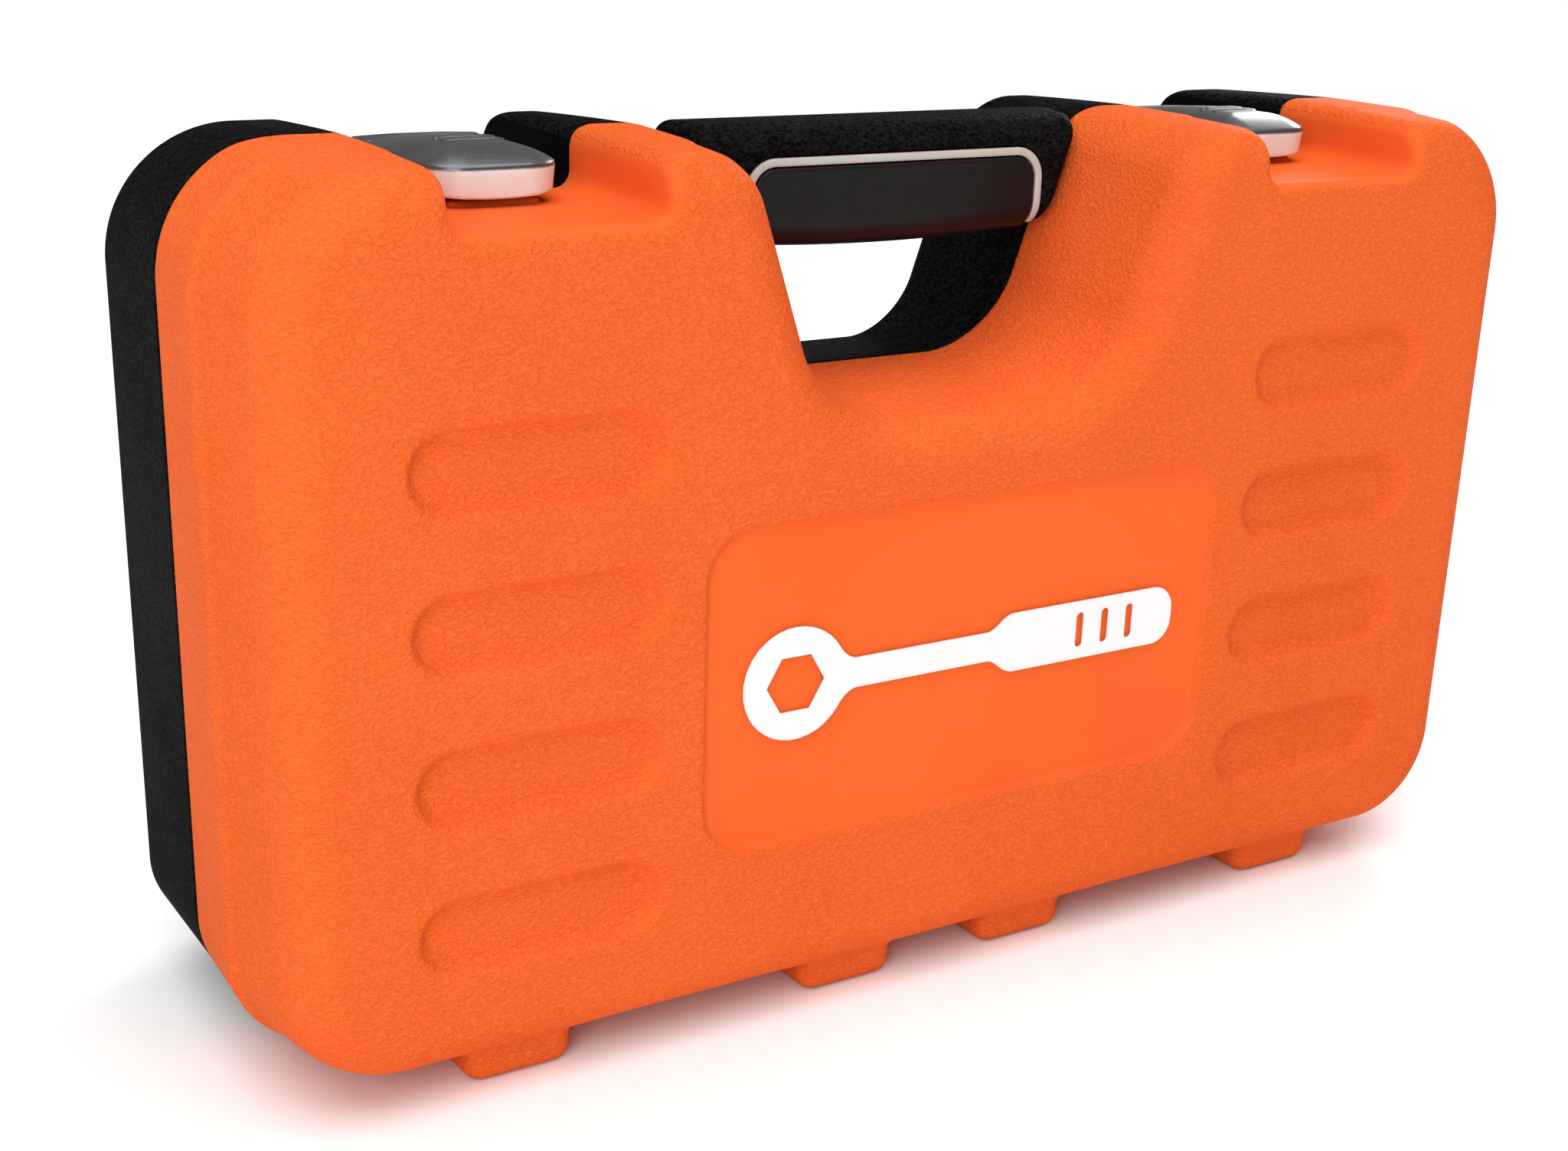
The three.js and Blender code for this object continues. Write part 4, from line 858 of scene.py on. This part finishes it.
# ---- tools ----
DRIVE_HOLE, DRIVE_PEG = 13.0, 12.4
BALL_R, BALL_OUT, BALL_BACK = 2.0, 4.9, 7.0  # the spring ball in a drive peg
NECK_R, GROOVE = 11.0, 0.5
MOUTH_SHORT, DRIVE_DEPTH = 15.0, 20.0  # a socket's mouth ends this far from its back
SHAFT_R, COLLAR_R = 6.2, 7.6
KNURL_PITCH, KNURL_HALF, KNURL_MID, KNURL_REACH, KNURL_DEPTH = 2.0, 0.3, 11.0, 6.0, 0.4


def turned(r, along, stops, edge):
    """A turned body: stops are (distance along, radius), ends rounded."""
    places, radii = [s[0] for s in stops], [s[1] for s in stops]
    ends = np.maximum(places[0] - along, along - places[-1])
    return round_cut((r - np.interp(along, places, radii)) * 0.85, ends, edge)


def square(u, v, side):
    return rectangle(u, v, side / 2, side / 2, 0.5)


def drive_peg(body, u, v, along, start, end):
    """A body with a drive square from start to end, and the spring ball in its side."""
    peg = round_cut(square(u, v, DRIVE_PEG), np.maximum(start - along, along - end), 1.0)
    ball = np.sqrt((along - end + BALL_BACK) ** 2 + (u + BALL_OUT) ** 2 + v ** 2) - BALL_R
    return np.minimum(round_join(body, peg, 0.8), ball)


def drive_socket(size, radius, length, at):
    neck = min(radius, NECK_R)
    groove = neck - GROOVE
    stops = [(0, radius), (length - 16, radius), (length - 11, neck), (length - 8.4, neck),
             (length - 8.1, groove), (length - 4.4, groove), (length - 4.1, neck), (length, neck)]

    def field(x, y, z):
        u, v, along = x - at, z - ROW_Z, y - ROW_Y
        r = np.hypot(u, v)
        body = turned(r, along, stops, 1.0)
        mouth = np.maximum(hexagon(v, u, size), along - (length - MOUTH_SHORT))
        mouth = np.minimum(mouth, (r - (size / math.sqrt(3) + 0.5 - along)) * 0.7)
        body = round_cut(body, -mouth, 0.35)
        drive = np.maximum(square(u, v, DRIVE_HOLE), length - DRIVE_DEPTH - along)
        return round_cut(body, -drive, 0.35)
    return field


for size, radius, length, at in socket_places():
    node = "socket_%d" % size
    piece("drive_" + node, drive_socket(size, radius, length, at), *box_mm(node), 0.65, SATIN, "base",
          "socket_chrome", [node])


def extension_bar(x0, x1, z0):
    length = x1 - x0
    stops = [(0, BAR_R), (21, BAR_R), (27, SHAFT_R), (length - 27, SHAFT_R), (length - 24, COLLAR_R),
             (length - 15, COLLAR_R), (length - 13, 6.0)]

    def field(x, y, z):
        along, u, v = x - x0, y - TOOL_Y, z - z0
        r = np.hypot(u, v)
        body = turned(r, along, stops, 0.9)
        knurl = np.abs(np.mod(along, KNURL_PITCH) - KNURL_PITCH / 2) - KNURL_HALF
        knurl = np.maximum(knurl, np.abs(along - KNURL_MID) - KNURL_REACH)
        body = round_cut(body, -np.maximum(knurl, BAR_R - KNURL_DEPTH - r), 0.2)
        body = drive_peg(body, u, v, along, length - 16, length)
        return round_cut(body, -np.maximum(square(u, v, DRIVE_HOLE), along - 15), 0.4)
    return field


piece("long_extension", extension_bar(*LONG_BAR), *box_mm("extension_bar_long"), 0.7, CHROME,
      "base", "tool_chrome", ["extension_bar_long"])
piece("short_extension", extension_bar(*SHORT_BAR), *box_mm("extension_bar_short"), 0.65, CHROME,
      "base", "tool_chrome", ["extension_bar_short"])


PLUG_HEX, SMALL_PEG = 21.0, 9.5
SLEEVE_R, SLEEVE_THICK, SLEEVE_MID, SLEEVE_HALF = 7.8, 1.8, 32.0, 8.0


def plug_socket(x, y, z):
    along, u, v = x - PLUG[0], y - TOOL_Y, z - PLUG[2]
    groove = NECK_R - GROOVE
    stops = [(0, PLUG_R), (48, PLUG_R), (53, NECK_R), (61, NECK_R), (61.3, groove), (65, groove),
             (65.3, NECK_R), (70, NECK_R)]
    body = turned(np.hypot(u, v), along, stops, 1.0)
    body = round_cut(body, -np.maximum(hexagon(u, v, PLUG_HEX), along - 55), 0.35)
    return round_cut(body, -np.maximum(square(u, v, DRIVE_HOLE), 52 - along), 0.35)


def plug_sleeve(x, y, z):
    r = np.hypot(y - TOOL_Y, z - PLUG[2])
    along = np.abs(x - PLUG[0] - SLEEVE_MID) - SLEEVE_HALF
    return round_cut(np.abs(r - SLEEVE_R) - SLEEVE_THICK, along, 0.7)


def drive_adapter(x, y, z):
    along, u, v = x - ADAPTER[0], y - TOOL_Y, z - ADAPTER[2]
    stops = [(0, BAR_R), (18, BAR_R), (22, 8), (26, 8), (27, 4.6)]
    body = turned(np.hypot(u, v), along, stops, 0.9)
    peg = round_cut(square(u, v, SMALL_PEG), np.maximum(22 - along, along - 38), 0.9)
    ball = np.sqrt((along - 32.5) ** 2 + (u + 3.7) ** 2 + v ** 2) - 1.6
    body = np.minimum(round_join(body, peg, 0.6), ball)
    return round_cut(body, -np.maximum(square(u, v, DRIVE_HOLE), along - 14), 0.4)


piece("spark_socket", plug_socket, *box_mm("spark_plug_socket"), 0.65, CHROME, "base", "tool_chrome",
      ["spark_plug_socket"])
piece("spark_sleeve", plug_sleeve, *box_mm("spark_plug_sleeve"), 0.7, RUBBER, "base", "sleeve_rubber",
      ["spark_plug_sleeve"])
piece("size_adapter", drive_adapter, *box_mm("drive_adapter"), 0.6, CHROME, "base", "tool_chrome",
      ["drive_adapter"])


# ---- universal joint ----
FORK_MID, FORK_HALF_THICK, FORK_HALF_HIGH, FORK_ROUND, FORK_ROOT = 8.75, 1.55, 4.6, 4.8, 12.0
FORK_BORE_R, HUB_START, HUB_R = 2.5, 9.4, 11.1
CROSS_HALF, TRUNNION_R, TRUNNION_REACH = 4.5, 2.1, 10.0


def fork(side):
    """One fork: side -1 has its arms before and behind the cross, side 1 above and below it."""
    hub_end = 21 if side > 0 else JOINT_ARM

    def field(x, y, z):
        along, u, v = side * (x - JOINT_X), y - TOOL_Y, z - JOINT_Z
        across, level = (u, v) if side < 0 else (v, u)
        hub = turned(np.hypot(u, v), along, [(HUB_START, HUB_R), (hub_end, HUB_R)], 1.2)
        arm = np.abs(np.abs(across) - FORK_MID) - FORK_HALF_THICK
        arm = round_cut(arm, np.abs(level) - FORK_HALF_HIGH, 0.5)
        rounded_end = np.hypot(np.minimum(along, 0), level) - FORK_ROUND
        arm = round_cut(arm, np.maximum(rounded_end, along - FORK_ROOT), 0.5)
        made = round_join(hub, arm, 0.8)
        made = round_cut(made, -(np.hypot(along, level) - FORK_BORE_R), 0.3)
        if side < 0:
            return round_cut(made, -np.maximum(square(u, v, DRIVE_HOLE), 21 - along), 0.4)
        return drive_peg(made, u, v, along, 20, JOINT_ARM)
    return field


def joint_cross(x, y, z):
    a, u, v = x - JOINT_X, y - TOOL_Y, z - JOINT_Z
    core = round_cut(np.abs(a) - CROSS_HALF, np.abs(u) - CROSS_HALF, 1.0)
    core = round_cut(core, np.abs(v) - CROSS_HALF, 1.0)
    trunnion_y = round_cut(np.hypot(a, v) - TRUNNION_R, np.abs(u) - TRUNNION_REACH, 0.4)
    trunnion_z = round_cut(np.hypot(a, u) - TRUNNION_R, np.abs(v) - TRUNNION_REACH, 0.4)
    return np.minimum(core, np.minimum(trunnion_y, trunnion_z))


piece("joint_fork_in", fork(-1), *box_mm("universal_joint_input"), 0.6, CHROME, "base", "tool_chrome",
      ["universal_joint_input"])
piece("joint_fork_out", fork(1), *box_mm("universal_joint_output"), 0.6, CHROME,
      "universal_output", "tool_chrome", ["universal_joint_output"])
piece("joint_spider", joint_cross, *box_mm("universal_joint_cross"), 0.5, STEEL,
      "universal_cross", "tool_steel", ["universal_joint_cross"])


# ---- ratchet wrench ----
HOLLOW_R, WHEEL_R, PLATE_R, COVER_HOLE_R, BUTTON_R = 14.4, 13.9, 18.0, 4.4, 3.2
SHANK_R, GRIP_START, GRIP_LENGTH = 7.0, 118.0, 132.0
HEAD_FRONT, HEAD_BACK = 8.5, 30.0
# the middle and the half thickness of each layer of the head, along Y
HEAD_LAYER, PLATE_LAYER, WHEEL_LAYER = (19.25, 10.75), (7.4, 0.8), (18.85, 10.15)
BUTTON_LAYER, RING_LAYER, TAB_LAYER = (9.2, 4.8), (5.35, 0.95), (4.75, 1.55)
SCREW_RING, SCREW_R, SCREW_FLOOR = 13.6, 1.7, 7.1
DRIVE_START, DRIVE_END, DRIVE_BALL = 28.0, 43.0, 37.0
DISH_R, DISH_FRONT, RING_R, TAB_AT, TAB_HALF = 5.6, -0.6, 9.0, 12.0, 5.0


def layer(y, span):
    """Distance outside one layer of the wrench's head."""
    middle, half = span
    return np.abs(y - middle) - half


def ratchet_body(x, y, z):
    u, v = x - HEAD_X, z - HEAD_Z
    r = np.hypot(u, v)
    head = round_cut(r - (HEAD_R - 0.5), layer(y, HEAD_LAYER), 2.2)
    stops = [(6, 8.5), (24, 8.5), (40, 7.6), (124, SHANK_R), (242, SHANK_R)]
    shank = turned(np.hypot(y - TOOL_Y, v), u, stops, 0.8)
    made = round_join(head, shank, 7.0)
    made = np.maximum(made, np.maximum(HEAD_FRONT - y, y - HEAD_BACK))
    return round_cut(made, -np.maximum(r - HOLLOW_R, 7.0 - y), 0.5)


def ratchet_grip(x, y, z):
    along = x - (HEAD_X + GRIP_START)
    r = np.hypot(y - TOOL_Y, z - HEAD_Z)
    waist, bulge = 12.6, WRENCH_GRIP_R - 0.1
    stops = [(0, 10), (4, 12.5), (14, waist), (GRIP_LENGTH / 2, bulge), (116, waist), (127, bulge),
             (GRIP_LENGTH - 1, 11.5), (GRIP_LENGTH, 9.4)]
    body = turned(r, along, stops, 1.4)
    rings = np.abs(np.mod(along - 12.0, 9.0) - 4.5) - 1.0
    rings = np.maximum(rings, np.abs(along - GRIP_LENGTH / 2) - 46.0)
    body = round_cut(body, -round_cut(rings, 11.9 - r, 0.4), 0.5)
    return np.maximum(body, -np.maximum(r - SHANK_R - 0.3, along - 124.3))


def ratchet_plate(x, y, z):
    u, v = x - HEAD_X, z - HEAD_Z
    made = round_cut(np.hypot(u, v) - PLATE_R, layer(y, PLATE_LAYER), 0.5)
    for k in range(3):
        angle = math.radians(60 + 120 * k)
        r = np.hypot(u - SCREW_RING * math.cos(angle), v - SCREW_RING * math.sin(angle))
        made = round_cut(made, -np.maximum(r - SCREW_R, y - SCREW_FLOOR), 0.3)
    return round_cut(made, -(np.hypot(u, v) - COVER_HOLE_R), 0.3)


def ratchet_wheel(x, y, z):
    u, v = x - HEAD_X, z - HEAD_Z
    r = np.hypot(u, v)
    wheel = round_cut(r - WHEEL_R, layer(y, WHEEL_LAYER), 0.6)
    ends = np.maximum(DRIVE_START - y, y - DRIVE_END)
    drive = round_cut(square(u, v, DRIVE_PEG), ends, 1.0)
    ball = np.sqrt(u ** 2 + (v - BALL_OUT) ** 2 + (y - DRIVE_BALL) ** 2) - BALL_R
    made = np.minimum(round_join(wheel, drive, 0.8), ball)
    return round_cut(made, -np.maximum(r - BUTTON_R - 0.4, y - 18.0), 0.4)


def ratchet_button(x, y, z):
    r = np.hypot(x - HEAD_X, z - HEAD_Z)
    made = round_cut(r - BUTTON_R, layer(y, BUTTON_LAYER), 0.8)
    dish = np.sqrt(r ** 2 + (y - DISH_FRONT) ** 2) - DISH_R
    return round_cut(made, -dish, 0.2)


def ratchet_lever(x, y, z):
    u, v = x - HEAD_X, z - HEAD_Z
    r = np.hypot(u, v)
    ring = round_cut(r - RING_R, layer(y, RING_LAYER), 0.6)
    tab = round_cut(rectangle(u - TAB_AT, v, TAB_HALF, 3.4, 2.6), layer(y, TAB_LAYER), 0.7)
    made = round_join(ring, tab, 0.8)
    return round_cut(made, -(r - COVER_HOLE_R), 0.4)


RATCHET_PARTS = (
    ("wrench_body", ratchet_body, "ratchet_body", 0.75, CHROME, "base", "tool_chrome"),
    ("wrench_grip", ratchet_grip, "ratchet_grip", 0.7, RUBBER, "base", "ratchet_grip_rubber"),
    ("wrench_plate", ratchet_plate, "ratchet_cover_plate", 0.45, STEEL, "base", "tool_steel"),
    ("wrench_drive", ratchet_wheel, "ratchet_drive", 0.6, STEEL, "ratchet_drive", "tool_steel"),
    ("wrench_button", ratchet_button, "ratchet_release_button", 0.35, STEEL, "ratchet_button", "tool_steel"),
    ("wrench_lever", ratchet_lever, "ratchet_reversing_lever", 0.4, RED, "ratchet_lever", "lever_plastic"),
)
for name, field, node, step, material, body, slot in RATCHET_PARTS:
    piece(name, field, *box_mm(node), step, material, body, slot, [node])


# ---- stage ----
FLOOR_HALF, FLOOR_PALE = 30.0, 0.96
CAMERA_PLACE = (-0.3262, -0.4988, 0.3056)
CAMERA_TURN = (-31.09, -18.72, 1.82)  # yaw, pitch and roll in degrees
CAMERA_LENS, SENSOR_WIDTH = 47.84, 36.0
WORLD_STRENGTH = 0.2


def add_floor():
    mesh = bpy.data.meshes.new("floor")
    corners = [(x * FLOOR_HALF, y * FLOOR_HALF, 0) for x, y in ((-1, -1), (1, -1), (1, 1), (-1, 1))]
    mesh.from_pydata(corners, [], [(0, 1, 2, 3)])
    made = bpy.data.objects.new("floor", mesh)
    bpy.context.scene.collection.objects.link(made)
    material, tree, shader = node_tree("pale_floor")
    shader.inputs["Base Color"].default_value = (FLOOR_PALE, FLOOR_PALE, FLOOR_PALE, 1)
    shader.inputs["Roughness"].default_value = 0.9
    mesh.materials.append(material)


def add_camera():
    yaw, pitch, roll = (math.radians(v) for v in CAMERA_TURN)
    level = Vector((-math.sin(yaw), math.cos(yaw), 0))
    ahead = level * math.cos(pitch) + Vector((0, 0, math.sin(pitch)))
    right = Vector((math.cos(yaw), math.sin(yaw), 0))
    up = right.cross(ahead)
    right, up = (math.cos(roll) * right + math.sin(roll) * up, math.cos(roll) * up - math.sin(roll) * right)
    data = bpy.data.cameras.new("camera")
    data.sensor_width = SENSOR_WIDTH
    data.lens = CAMERA_LENS
    camera = bpy.data.objects.new("camera", data)
    place = Matrix((right, up, -ahead)).transposed().to_4x4()
    place.translation = CAMERA_PLACE
    camera.matrix_world = place
    bpy.context.scene.collection.objects.link(camera)
    bpy.context.scene.camera = camera


def add_light(name, place, target, size, power):
    """A square area light that shines at a target."""
    data = bpy.data.lights.new(name, "AREA")
    data.shape = "SQUARE"
    data.size = size
    data.energy = power
    made = bpy.data.objects.new(name, data)
    made.location = place
    made.rotation_euler = (Vector(target) - Vector(place)).to_track_quat("-Z", "Y").to_euler()
    bpy.context.scene.collection.objects.link(made)


def add_sun(name, toward, strength, spread):
    data = bpy.data.lights.new(name, "SUN")
    data.energy = strength
    data.angle = math.radians(spread)
    made = bpy.data.objects.new(name, data)
    made.rotation_euler = Vector(toward).to_track_quat("-Z", "Y").to_euler()
    bpy.context.scene.collection.objects.link(made)


def add_lights():
    world = bpy.data.worlds.new("world")
    world.use_nodes = True
    background = world.node_tree.nodes["Background"]
    background.inputs["Color"].default_value = (1, 1, 1, 1)
    background.inputs["Strength"].default_value = WORLD_STRENGTH
    bpy.context.scene.world = world
    add_sun("soft_sun", toward=(0.06, 0.17, -1.12), strength=2.87, spread=70)
    add_light("key_left", place=(-0.75, -0.8, 0.55), target=(-0.15, 0, 0.12), size=0.6, power=5.7)
    add_light("fill_back", place=(1.2, 0.75, 0.75), target=(0, 0, 0.12), size=0.5, power=7)


add_floor()
add_camera()
add_lights()
bpy.context.scene.view_settings.view_transform = "Standard"
